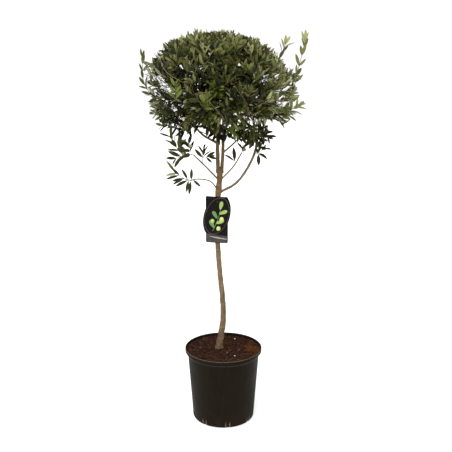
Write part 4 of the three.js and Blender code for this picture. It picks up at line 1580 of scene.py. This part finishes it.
        return Shoots(paths[keep], size[keep], tint[keep], habit.bare_part, habit.leaf_spacing)

    def shoot_tints(self, tips: Array, rise: Array, rng: Random) -> Array:
        """Each shoot's leaf colour: painted light upwards, outwards and to the right, painted shade inwards,
        downwards and to the left, a few of them young.
        """
        habit = self.habit
        # Painted light on the right side of the crown, painted shade on its left.
        right, left = (ramp(side * tips[:, 0], 0.1, 0.1) for side in (1, -1))
        aside = habit.right_light * right - habit.left_shade * left
        higher = np.where(rise > 0, 1.7, 0.75) * rise
        # Painted shade deep inside the crown and low down, painted light on its outside and top.
        shade = 1.5 + higher + 2.6 * (self.crown.depth(tips) - 0.82) + aside
        shade = shade + rng.normal(0, habit.mottle, len(tips))
        tint = np.clip(np.round(shade), SHADE.place, TOP.place).astype(int)
        # Young leaves are a green of their own; the paler young tint goes higher up, where it is partly
        # painted light.
        young = rng.random(len(tips)) < habit.young
        return np.where(young, np.where(rise > 0.2, YOUNG_PALE.place, YOUNG.place), tint)

    def dress_twig(self, twig: Twig, rng: Random) -> tuple[Patch, Patch]:
        """A twig's wood and its leaves."""
        path = smooth_path(MM * np.array(twig.through), 30)[None]
        size, tint = np.array([twig.size]), np.array([twig.tint.place])
        shoots = Shoots(path, size, tint, twig.first, MM * twig.spacing)
        foliage = self.upright_foliage if twig.upright else self.loose_foliage
        return tapered(path, twig.foot, 0.6, 4), foliage.dress(shoots, rng, self.in_box)

    def single_leaves(self, leaves: tuple[SingleLeaf, ...], rng: Random) -> Patch:
        """Leaves from given roots to given tips, facing up and a little forwards."""
        roots = MM * np.array([leaf.root for leaf in leaves])
        reach = MM * np.array([leaf.tip for leaf in leaves]) - roots
        along = unit(reach)
        facing = square_to(0.75 * UP + 0.7 * FRONT + rng.normal(0, 0.2, along.shape), along)
        size = np.linalg.norm(reach, axis=1) / self.foliage.leaf.length
        bend = np.full(len(leaves), 0.2)
        tint = np.array([leaf.tint.place for leaf in leaves])
        under = np.full(len(leaves), UNDER.place)
        return self.foliage.leaf.blades(roots, along, facing, size, bend, bend, tint, under)

    def put(self, node: str, wood: list[Patch], leaves: list[Patch], slot: str) -> None:
        """Hands over the wood and the leaves that together stand for one node."""
        hand_over(put_mesh(f"twigs_{node}", wood, self.wood, smooth=60), "young_bark", node)
        hand_over(put_mesh(f"leaves_{node}", leaves, self.tints), slot, node)


# ---- Pot and soil ----


def arc(centre: Pair, radius: float, start: float, end: float, steps: int = 6) -> Array:
    """Points round a centre from one angle to another, in degrees."""
    angle = np.radians(np.linspace(start, end, steps))
    return rows_of(centre[0] + radius * np.cos(angle), centre[1] + radius * np.sin(angle))


@dataclass(frozen=True)
class Pot:
    """A flared nursery pot with a collar and a rolled lip, and slots round its foot.

    Sizes are in millimetres, as radii and heights of the turned profile.
    """

    height: float = 270.0
    rim_radius: float = 140.0
    rim_depth: float = 13.0
    collar_radius: float = 132.7
    collar_depth: float = 8.0
    shoulder: Pair = (130.0, 244.0)
    foot_radius: float = 112.8
    foot_round: float = 9.0
    wall: float = 2.6
    slots: int = 8
    slot_size: Point = (11.0, 16.0, 19.0)
    slot_turn: float = 8.0
    segments: int = 240

    def wall_line(self, inset: float, steps: int) -> Array:
        """The flared wall from the foot's rounding to the shoulder."""
        low = np.array([self.foot_radius - inset, self.foot_round + 1])
        high = np.array([self.shoulder[0] - inset, self.shoulder[1]])
        return blend(low, high, np.linspace(0, 1, steps)[:, None])

    def profile(self) -> Array:
        """The profile from the underside's middle, up the outside, over the lip and down inside."""
        rim, top, wall = self.rim_radius, self.height, self.wall
        under = top - self.rim_depth
        collar = self.collar_radius
        foot = self.foot_radius - self.foot_round
        lip = wall / 2
        return np.vstack([
            [[0, 0], [foot * 0.5, 0]],
            arc((foot, self.foot_round), self.foot_round, -90, 0, 8),
            self.wall_line(0, 46),
            arc((collar - 1.2, under - self.collar_depth + 1.0), 1.2, -45, 0, 4),
            [[collar, under - 1.5]],
            arc((collar + 1.2, under - 1.2), 1.2, 180, 90, 4)[1:],
            arc((rim - 1.5, under + 1.5), 1.5, -90, 0, 5),
            [[rim, top - 4]],
            arc((rim - lip, top - lip), lip, 0, 180, 9),
            [[rim - wall, under + wall + 1.2]],
            arc((rim - wall - 1.2, under + wall + 1.2), 1.2, 0, -90, 4)[1:],
            [[collar - wall, under + wall - 0.6], [collar - wall, under - self.collar_depth + 1]],
            self.wall_line(wall, 12)[::-1],
            arc((foot, self.foot_round), self.foot_round - wall, 0, -90, 6),
            [[foot * 0.5, wall], [0, wall]],
        ])

    def slot_angles(self) -> Array:
        """The angle of each slot's middle round the pot, the first one near the front."""
        return math.radians(-90 + self.slot_turn) + around(self.slots)

    def relief(self, profile: Array) -> Array:
        """Moulded ribs beside each slot, fading upwards, and a faint mould seam on two sides."""
        angle = around(self.segments)
        radius, height = profile[1:-1, :1], profile[1:-1, 1:]
        outer = (np.arange(len(radius)) < 62)[:, None]
        beside = np.zeros((1, self.segments))
        for middle in self.slot_angles():
            gap = np.abs((angle - middle + math.pi) % math.tau - math.pi) * self.foot_radius
            beside = beside + np.exp(-(((gap - 8.5) / 1.9) ** 2))[None]
        seam = sum(np.exp(-(((angle - turn) * 130 / 1.6) ** 2)) for turn in (0.4, 0.4 + math.pi))[None]
        fade = ramp(height, 42, -22) * ramp(height, 1, 5)
        seam_fade = ramp(height, 30, 10) * ramp(height, 240, -6)
        return outer * (0.9 * beside * fade + 0.25 * seam * seam_fade)

    def build(self, effects: Effects) -> None:
        """The pot's shell with its slots cut through."""
        profile = self.profile()
        shell = lathe(MM * profile, self.segments, MM * self.relief(profile))
        finish = PotPlastic().material(effects)
        pot = put_mesh("pot_shell", [shell], [finish], smooth=32)
        cutter = self.slot_cutter()
        cut = pot.modifiers.new("slots", "BOOLEAN")
        cut.operation = "DIFFERENCE"
        cut.solver = "EXACT"
        cut.object = cutter
        whole = bpy.data.meshes.new_from_object(pot.evaluated_get(bpy.context.evaluated_depsgraph_get()))
        pot.modifiers.clear()
        pot.data = whole
        whole.name = pot.name
        whole.shade_smooth()
        whole.set_sharp_from_angle(angle=math.radians(32))
        bpy.data.objects.remove(cutter)
        hand_over(pot, "pot_plastic", "pot")

    def slot_cutter(self) -> Object:
        """Boxes with rounded tops that cut the slots."""
        width, depth, height = self.slot_size
        section = np.vstack([
            [[-width / 2, -5], [width / 2, -5]],
            arc((width / 2 - 3, height - 3), 3, 0, 90, 5),
            arc((-width / 2 + 3, height - 3), 3, 90, 180, 5),
        ])
        count = len(section)
        cutters = []
        for turn in self.slot_angles():
            out = np.array([math.cos(turn), math.sin(turn), 0.0])
            side = np.array([-math.sin(turn), math.cos(turn), 0.0])
            rows = [
                out * (self.foot_radius + shift) + side * section[:, :1] + UP * section[:, 1:]
                for shift in (-depth / 2, depth / 2)
            ]
            ring = np.arange(count)
            faces = np.vstack([grid_faces(2, count, True), fan_faces(ring[::-1]), fan_faces(ring + count)])
            cutters.append(Patch(MM * np.vstack(rows), faces, np.zeros(len(faces), int)))
        return put_mesh("slot_cutter", cutters, [])


@dataclass(frozen=True)
class Soil:
    """Bark and peat that fill the pot, with loose chips, fibres and a few white grains on top."""

    pot: Pot
    edge_height: float = 260.5
    top_height: float = 262.0
    flat_radius: float = 60.0
    gap: float = 0.3
    segments: int = 150
    rings: int = 60
    chips: int = 900
    chip_shares: tuple[float, ...] = (0.56, 0.36, 0.05, 0.03)
    fibres: int = 330
    loose_radius: float = 131.0
    stem: Pair = (-16.0, 9.0)
    stem_clear: float = 17.0
    grains: tuple[Point, ...] = ((43, 92, 2.7), (41, -64, 2.7), (116, -4, 1.6), (30, -92, 1.4))

    def edge_radius(self) -> float:
        """The radius of the filling inside the rim."""
        return self.pot.rim_radius - self.pot.wall - self.gap

    def lie(self, x: Array, y: Array) -> Array:
        """The height of the surface at a place: the settled cone plus three sizes of lumps.

        Each size is a sum of cosines cos(2 pi (x cos a + y sin a) / l + phase) over random a.
        """
        rng = np.random.default_rng(31)
        radius = np.hypot(x, y)
        span = self.edge_radius() - self.flat_radius
        settled = blend(self.top_height, self.edge_height, ramp(radius, self.flat_radius, span))
        lumps = 0.0
        for wavelength, height in ((52, 1.3), (17, 0.85), (7, 0.4)):
            for _ in range(7):
                turn, phase = rng.uniform(0, math.tau, 2)
                step = wavelength * rng.uniform(0.7, 1.3)
                along = x * np.cos(turn) + y * np.sin(turn)
                lumps = lumps + height * np.cos(math.tau * along / step + phase) / 2
        return settled + lumps * np.clip((self.edge_radius() + 2 - radius) / 12, 0.25, 1) - 0.4

    def body(self) -> Patch:
        """The filling: turned like the pot's inside, with the lumpy surface on top."""
        pot = self.pot
        foot = pot.foot_radius - pot.foot_round
        inset = pot.wall + self.gap
        edge = self.edge_radius()
        neck = pot.collar_radius - inset
        ledge = pot.height - pot.rim_depth + inset
        lower = np.vstack([
            [[0, inset], [foot * 0.5, inset]],
            arc((foot, pot.foot_round), pot.foot_round - inset, -90, 0, 5),
            [[pot.shoulder[0] - inset, pot.shoulder[1]]],
            [[neck, ledge - inset - pot.collar_depth + pot.wall], [neck, ledge], [edge, ledge]],
        ])
        shares = 1 - np.linspace(0, 1, self.rings) ** 1.1
        upper = rows_of(edge * shares, np.full(self.rings, self.edge_height))
        profile = np.vstack([lower, upper])
        patch = lathe(profile, self.segments)
        points = patch.points.copy()
        on_top = points[:, 2] > self.edge_height - 0.2
        points[on_top, 2] = self.lie(points[on_top, 0], points[on_top, 1])
        return Patch(MM * points, patch.faces, patch.finish)

    def scattered(self, count: int, rng: Random) -> Array:
        """Places spread over the surface, clear of the trunk."""
        radius = self.loose_radius * np.sqrt(rng.random(count * 2))
        turn = rng.uniform(0, math.tau, count * 2)
        x, y = radius * np.cos(turn), radius * np.sin(turn)
        clear = np.hypot(x - self.stem[0], y - self.stem[1]) > self.stem_clear
        x, y = x[clear][:count], y[clear][:count]
        return rows_of(x, y, self.lie(x, y))

    def chip_patch(self, rng: Random) -> Patch:
        """Bark chips: six-sided slabs with shaken corners, lying at small tilts."""
        places = self.scattered(self.chips, rng)
        count = self.chips
        square = ((-1, -1), (1, -1), (1, 1), (-1, 1))
        corner = np.array([[x, y, z] for z in (-1, 1) for x, y in square], float)
        corner = corner[None] * rng.uniform(0.6, 1.1, (count, 8, 3))
        wide, high = rng.gamma(3, 1.1, count) + 1, rng.gamma(3, 0.5, count) + 0.7
        half = rows_of(wide, high, rng.uniform(0.4, 1.3, count))
        normal = unit(np.hstack([rng.normal(0, 0.32, (count, 2)), np.ones((count, 1))]))
        along = square_to(rng.normal(0, 1, (count, 3)), normal)
        across = np.cross(normal, along)
        local = corner * half[:, None]
        points = places[:, None]
        for i, direction in enumerate((along, across, normal)):
            points = points + local[..., i : i + 1] * direction[:, None]
        faces = np.array([[3, 2, 1, 0], [4, 5, 6, 7], [0, 1, 5, 4], [1, 2, 6, 5], [2, 3, 7, 6], [3, 0, 4, 7]])
        finish = np.repeat(rng.choice(4, count, p=self.chip_shares), 6)
        return Patch(MM * points.reshape(-1, 3), repeated(faces, count, 8), finish)

    def fibre_patch(self, rng: Random) -> Patch:
        """Coir fibres: thin bent threads, most of them on the right."""
        places = self.scattered(self.fibres, rng)
        right = rng.random(self.fibres) < 0.55
        places[right, 0] = np.clip(106 + rng.normal(0, 15, right.sum()), 40, 126)
        places[right, 1] = rng.normal(0, 32, right.sum())
        places[:, :2] *= np.minimum(1, 126 / np.hypot(places[:, 0], places[:, 1]))[:, None]
        places[:, 2] = self.lie(places[:, 0], places[:, 1]) + rng.uniform(0.3, 2.2, self.fibres)
        turn = rng.uniform(0, math.tau, self.fibres)
        half = rng.uniform(4, 13, self.fibres)
        ahead = compass(turn, rng.normal(0, 0.12, self.fibres)) * half[:, None]
        bend = rng.normal(0, 1, (self.fibres, 3)) * half[:, None] * np.array([0.5, 0.5, 0.12])
        paths = bent_paths(places - ahead, places + bend, places + ahead, 6)
        paths[..., :2] *= np.minimum(1, 133 / np.linalg.norm(paths[..., :2], axis=-1))[..., None]
        radii = np.broadcast_to(rng.uniform(0.28, 0.6, self.fibres)[:, None], paths.shape[:2])
        finish = np.where(right, 4, rng.choice([1, 2, 3], self.fibres))
        return tubes(MM * paths, MM * radii, 4, finish)

    def grain_patch(self, rng: Random) -> Patch:
        """White grains: little rounded lumps at given places, with their sizes."""
        x, y, size = np.array(self.grains).T
        places = rows_of(x, y, self.lie(x, y) + 0.8)
        turn = rng.uniform(0, math.pi, len(size))
        ahead = compass(turn, 0 * turn) * size[:, None] * 1.3
        t = np.linspace(-0.97, 0.97, 7)
        paths = places[:, None] + ahead[:, None] * t[:, None]
        radii = size[:, None] * np.sqrt(1 - t**2) * rng.uniform(0.8, 1.1, (len(size), 7))
        return tubes(MM * paths, MM * radii, 8)

    def build(self, effects: Effects) -> None:
        """The filling, its loose bark and fibres, and its grains."""
        rng = np.random.default_rng(32)
        ground = SoilFinish("soil_peat", (28, 16, 11), (62, 38, 26)).material(effects)
        browns = (
            ("chip_dark", (34, 20, 14), (50, 30, 21)),
            ("chip_red", (58, 34, 24), (80, 47, 32)),
            ("chip_orange", (84, 50, 27), (112, 70, 38)),
            ("chip_tan", (92, 68, 48), (118, 92, 68)),
            ("fibre_orange", (100, 56, 30), (132, 78, 42)),
        )
        browns = [SoilFinish(*brown, 200.0).material(effects) for brown in browns]
        white = SoilFinish("grain_white", (196, 190, 178), (226, 222, 212), 300.0).material(effects)
        hand_over(put_mesh("soil_bed", [self.body()], [ground], smooth=50), "potting_soil", "soil")
        loose = [self.chip_patch(rng), self.fibre_patch(rng)]
        hand_over(put_mesh("soil_bark_and_fibre", loose, browns), "potting_soil")
        hand_over(put_mesh("soil_white_grains", [self.grain_patch(rng)], [white], smooth=60), "potting_soil")


# ---- Label ----


@dataclass(frozen=True)
class Label:
    """The hanging card: a plain rectangle with an oval bulge that leans right, bent at its foot.

    Sizes are in millimetres; x and z on the card are measured from its middle.
    """

    width: float = 78.0
    height: float = 165.0
    thickness: float = 0.8
    middle: Pair = (-22.6, 751.0)
    front: float = -10.9
    oval: Pair = (45.0, 79.0)
    lean: float = math.radians(-18)
    rise: float = 13.0
    corner: float = 4.0
    curl_height: float = 15.0
    curl_depth: float = 6.0
    bow: float = 420.0
    bow_middle: float = 4.0
    slant: float = 0.05

    def edges(self, z: Array) -> tuple[Array, Array]:
        """The card's left and right edge at heights: the further one of rectangle and oval.

        The oval's edges solve ((c x + s h)/a)^2 + ((c h - s x)/b)^2 = 1 for x, with h the height
        above its middle and c, s the cosine and sine of its lean.
        """
        a, b = self.oval
        c, s = math.cos(self.lean), math.sin(self.lean)
        h = z - self.rise
        square = c**2 / a**2 + s**2 / b**2
        tilt = 2 * h * c * s * (1 / a**2 - 1 / b**2)
        rest = h**2 * (s**2 / a**2 + c**2 / b**2) - 1
        inside = tilt**2 - 4 * square * rest
        root = np.sqrt(np.maximum(inside, 0))
        low = np.where(inside > 0, (-tilt - root) / (2 * square), 0)
        high = np.where(inside > 0, (-tilt + root) / (2 * square), 0)
        near_end = np.clip(self.corner - (self.height / 2 - np.abs(z)), 0, self.corner)
        half = self.width / 2 - self.corner + np.sqrt(self.corner**2 - near_end**2)
        return np.minimum(-half, low), np.maximum(half, high)

    def place(self, x: Array, z: Array, lift: float) -> Array:
        """Points on the bent card, lifted off its front.

        The card bows back by (x - bow_middle)^2 / bow to its sides, and its foot curls forward by
        curl_depth (1 - (z above the foot) / curl_height)^2.
        """
        above_foot = z + self.height / 2
        curl = self.curl_depth * np.clip(1 - above_foot / self.curl_height, 0, 1) ** 2
        y = self.front + (x - self.bow_middle) ** 2 / self.bow - curl - lift
        return MM * np.stack([x + self.middle[0], y, z + self.middle[1] - self.slant * x], axis=-1)

    def slab(self, x: Array, z: Array, lifts: Pair, finish: int) -> Patch:
        """A thin closed sheet on the card: a front and a back grid, joined round the edge.

        Args:
            x: places across the card, (rows, columns).
            z: places up the card, in the same shape.
            lifts: how far the front and the back stand off the card's front.
            finish: the finish number.

        Returns:
            The sheet.
        """
        rows, columns = x.shape
        front, back = (self.place(x, z, lift).reshape(-1, 3) for lift in lifts)
        index = np.arange(rows * columns).reshape(rows, columns)
        border = np.concatenate([index[0, :-1], index[:-1, -1], index[-1, :0:-1], index[:0:-1, 0]])
        faces = closed_sheet(grid_faces(rows, columns, False), border, rows * columns)
        return Patch(np.vstack([front, back]), faces, np.full(len(faces), finish))

    def card(self) -> Patch:
        """The card itself."""
        z = np.linspace(-self.height / 2, self.height / 2, 90)[:, None]
        left, right = self.edges(z)
        x = blend(left, right, np.linspace(0, 1, 22)[None])
        return self.slab(x, np.broadcast_to(z, x.shape), (0.0, -self.thickness), 0)

    def decal(self, outline: Array, finish: int, lift: float = 0.25) -> Patch:
        """One printed shape: an outline anticlockwise on the card, filled by rings to its middle."""
        shares = np.array([1.0, 0.75, 0.5, 0.25])[:, None, None]
        middle = outline.mean(axis=0)
        rings = blend(middle, outline[None], shares)
        count, size = len(outline), shares.size * len(outline)
        sides = []
        for height in (lift, -0.1):
            sides.append(self.place(rings[..., 0], rings[..., 1], height).reshape(-1, 3))
            sides.append(self.place(middle[0], middle[1], height)[None])
        ring = np.arange(count)
        inner, tip = ring + size - count, np.full(count, size)
        closing = rows_of(inner, np.roll(inner, -1), tip, tip)
        faces = np.vstack([grid_faces(len(shares), count, True), closing])
        faces = closed_sheet(faces, ring, size + 1)
        return Patch(np.vstack(sides), faces, np.full(len(faces), finish))

    def border(self) -> Patch:
        """The thin printed oval: a closed band of one line's width."""
        turn = np.linspace(0, math.tau, 97)[:-1]
        c, s = math.cos(self.lean), math.sin(self.lean)
        rings = []
        for inset, lift in ((8.0, 0.25), (8.9, 0.25), (8.9, -0.1), (8.0, -0.1)):
            x, z = (self.oval[0] - inset * 0.6) * np.cos(turn), (self.oval[1] - inset - 3) * np.sin(turn)
            rings.append(self.place(c * x - s * z, s * x + c * z + self.rise, lift))
        faces = grid_faces(4, len(turn), True)
        size = 3 * len(turn)
        ring = np.arange(len(turn))
        after = np.roll(ring, -1)
        faces = np.vstack([faces, rows_of(size + ring, size + after, after, ring)])
        return Patch(np.vstack(rings), faces, np.full(len(faces), 3))

    def on_axis(self, shape: Array, along: float, aside: float, turn: float) -> Array:
        """An outline turned and moved to a place on the sprig, whose stem leans with the oval."""
        c, s = math.cos(turn), math.sin(turn)
        turned = shape @ np.array([[c, s], [-s, c]]) + np.array([aside, along])
        c, s = math.cos(self.lean), math.sin(self.lean)
        return turned @ np.array([[c, s], [-s, c]]) + np.array([0, self.rise - 6])

    def sprig(self) -> list[Patch]:
        """A plain upright sprig: a bowed stem, leaves on alternate sides and three hanging berries."""
        turn = np.linspace(0, math.tau, 25)[:-1]
        leaf = rows_of(6.4 * np.sin(turn) * (1 - 0.25 * np.cos(turn)), 15 - 15 * np.cos(turn))[::-1]
        berry = rows_of(7.0 * np.cos(turn), 8.2 * np.sin(turn))
        spot = rows_of(2.0 * np.cos(turn), 2.6 * np.sin(turn))
        rise = np.linspace(-50, 36, 20)
        bow = 5 * np.cos(math.pi * rise / 110)
        stem = [self.on_axis(rows_of(bow + aside, rise), 0, 0, 0) for aside in (-0.9, 0.0, 0.9)]
        stem = np.stack(stem, axis=1)
        shapes = [self.slab(stem[..., 0], stem[..., 1], (0.25, -0.1), 1)]
        for i, along in enumerate((-38.0, -20.0, -2.0, 16.0)):
            side = 1 if i % 2 else -1
            shapes.append(self.decal(self.on_axis(leaf, along, 3 + side, -side * 0.85), 1 + i % 2, 0.3))
            if i < 3:
                place = (along + 3, 3 - side * 14)
                shapes.append(self.decal(self.on_axis(berry, *place, 0), 2 if i == 1 else 4, 0.35))
                shapes.append(self.decal(self.on_axis(spot, place[0] + 2, place[1] - 2, 0), 7, 0.45))
        shapes.append(self.decal(self.on_axis(leaf, 32, 2, 0.1), 2, 0.3))
        return shapes

    def foot_band(self) -> list[Patch]:
        """The paler foot of the card, and the slanting light on its fold."""
        across = np.linspace(0, 1, 20)[None]
        up = np.linspace(0, 1, 8)[:, None]
        low = 1.5 - self.height / 2 + 7 * (1 - np.minimum(across / 0.15, 1)) ** 2
        high = 31 - self.height / 2 - 7 * across
        z = blend(low, high, up)
        x = np.broadcast_to(blend(-38.6, 38.6, across), z.shape)
        middle = 21.5 - self.height / 2 - 9 * across
        half = 2.4 * np.sin(math.pi * across) ** 0.5
        shine = blend(middle - half, middle + half, up)
        aside = np.broadcast_to(blend(-27.0, 37.0, across), shine.shape)
        # The second slab is a painted highlight: a pale strip standing for light on the curled foot.
        return [self.slab(x, z, (0.2, -0.1), 5), self.slab(aside, shine, (0.4, -0.1), 6)]

    def build(self, effects: Effects) -> None:
        """The card, its print with a painted highlight on its foot, and the strap's finish."""
        inks_and_painted_shine = (
            ("label_sheet", (14, 9, 8), (24, 18, 16), 0.3, 0.09),
            ("label_ink_green", (92, 130, 70), (108, 146, 84)),
            ("label_ink_lime", (146, 172, 92), (164, 188, 110)),
            ("label_ink_line", (104, 98, 90), (120, 112, 104)),
            ("label_ink_pale", (188, 200, 108), (206, 214, 130)),
            ("label_foot", (54, 48, 43), (84, 77, 70)),
            # label_shine is the painted highlight's colour, not an ink.
            ("label_shine", (150, 146, 140), (182, 178, 172), 0.2),
            ("label_ink_glint", (222, 230, 176), (232, 238, 196)),
        )
        finishes = [PrintedPlastic(*ink).material(effects) for ink in inks_and_painted_shine]
        card = put_mesh("label_sheet", [self.card()], finishes[:1], smooth=40)
        hand_over(card, "label_print", "label_card")
        artwork_and_painted_shine = [self.border(), *self.sprig(), *self.foot_band()]
        hand_over(put_mesh("label_artwork", artwork_and_painted_shine, finishes), "label_print")
        strap = PrintedPlastic("strap_plastic", (38, 34, 31), (54, 49, 44), 0.45).material(effects)
        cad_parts["label_strap"].data.materials.clear()
        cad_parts["label_strap"].data.materials.append(strap)


# ---- Studio ----


@dataclass(frozen=True)
class Studio:
    """A plain white room: a pale floor, even light all round and a broad soft sun from the upper left."""

    camera_place: Point = (9.5 * MM, -2.5, 1.326)
    camera_pitch: float = 13.5
    camera_lens: float = 57.98
    sensor: float = 36.0
    floor_half: float = 12.0
    sky: float = 0.55
    backdrop: float = 1.05
    sun: float = 2.4
    sun_turn: Point = (math.radians(30), math.radians(-24), 0.0)
    sun_width: float = 75.0
    side_sun: float = 0.6
    side_turn: Point = (math.radians(-20), math.radians(62), 0.0)
    side_width: float = 40.0

    def build(self) -> None:
        """Floor, world, lights and camera."""
        self.floor()
        world = bpy.data.worlds.new("studio")
        world.use_nodes = True
        self.dress_world(world)
        bpy.context.scene.world = world
        self.light("sun", self.sun, self.sun_turn, self.sun_width)
        self.light("side_sun", self.side_sun, self.side_turn, self.side_width)
        camera = bpy.data.cameras.new("camera")
        camera.lens = self.camera_lens
        camera.sensor_width = self.sensor
        camera.clip_start, camera.clip_end = 0.05, 50.0
        eye = bpy.data.objects.new("camera", camera)
        eye.location = self.camera_place
        eye.rotation_euler = (math.radians(90 - self.camera_pitch), 0, 0)
        bpy.context.scene.collection.objects.link(eye)
        bpy.context.scene.camera = eye
        bpy.context.scene.view_settings.view_transform = "Standard"

    def floor(self) -> None:
        """A wide pale floor."""
        material, _, shader = new_finish("studio_floor")
        shader.inputs["Base Color"].default_value = (0.95, 0.95, 0.95, 1)
        shader.inputs["Emission Color"].default_value = (1, 1, 1, 1)
        shader.inputs["Emission Strength"].default_value = 0.4
        shader.inputs["Roughness"].default_value = 0.9
        shader.inputs["Specular IOR Level"].default_value = 0.1
        corners = self.floor_half * np.array([[-1, -1, 0], [1, -1, 0], [1, 1, 0], [-1, 1, 0]]) - UP * 0.2 * MM
        floor = put_mesh("floor", [Patch(corners, np.array([[0, 1, 2, 3]]), np.zeros(1, int))], [material])

    def light(self, name: str, power: float, turn: Point, width: float) -> None:
        """A broad sun, as wide as the given angle in degrees, turned from pointing straight down."""
        lamp = bpy.data.lights.new(name, "SUN")
        lamp.energy = power
        lamp.angle = math.radians(width)
        holder = bpy.data.objects.new(name, lamp)
        holder.location = (0, 0, 3)
        holder.rotation_euler = turn
        bpy.context.scene.collection.objects.link(holder)

    def dress_world(self, world: bpy.types.World) -> None:
        """Even light from all round, in front of a white backdrop."""
        wiring = Wiring(world.node_tree)
        light = world.node_tree.nodes["Background"]
        light.inputs["Color"].default_value = (1, 1, 1, 1)
        light.inputs["Strength"].default_value = self.sky
        white = wiring.node("ShaderNodeBackground", Color=(1, 1, 1, 1), Strength=self.backdrop)
        seen = wiring.node("ShaderNodeLightPath").outputs["Is Camera Ray"]
        mix = wiring.node("ShaderNodeMixShader")
        for socket, value in zip(mix.inputs, (seen, light.outputs[0], white.outputs[0])):
            wiring.join(value, socket)
        wiring.join(mix.outputs[0], world.node_tree.nodes["World Output"].inputs["Surface"])


def main() -> None:
    """Builds the tree and the studio."""
    logging.basicConfig(level=logging.INFO, format="%(message)s")
    effects = Effects(streaks_effect(), specks_effect(), grime_effect())
    pot = Pot()
    pot.build(effects)
    Soil(pot).build(effects)
    Framework(effects).build()
    Canopy(Crown(), effects).build()
    Label().build(effects)
    Studio().build()


if __name__ == "__main__":
    main()
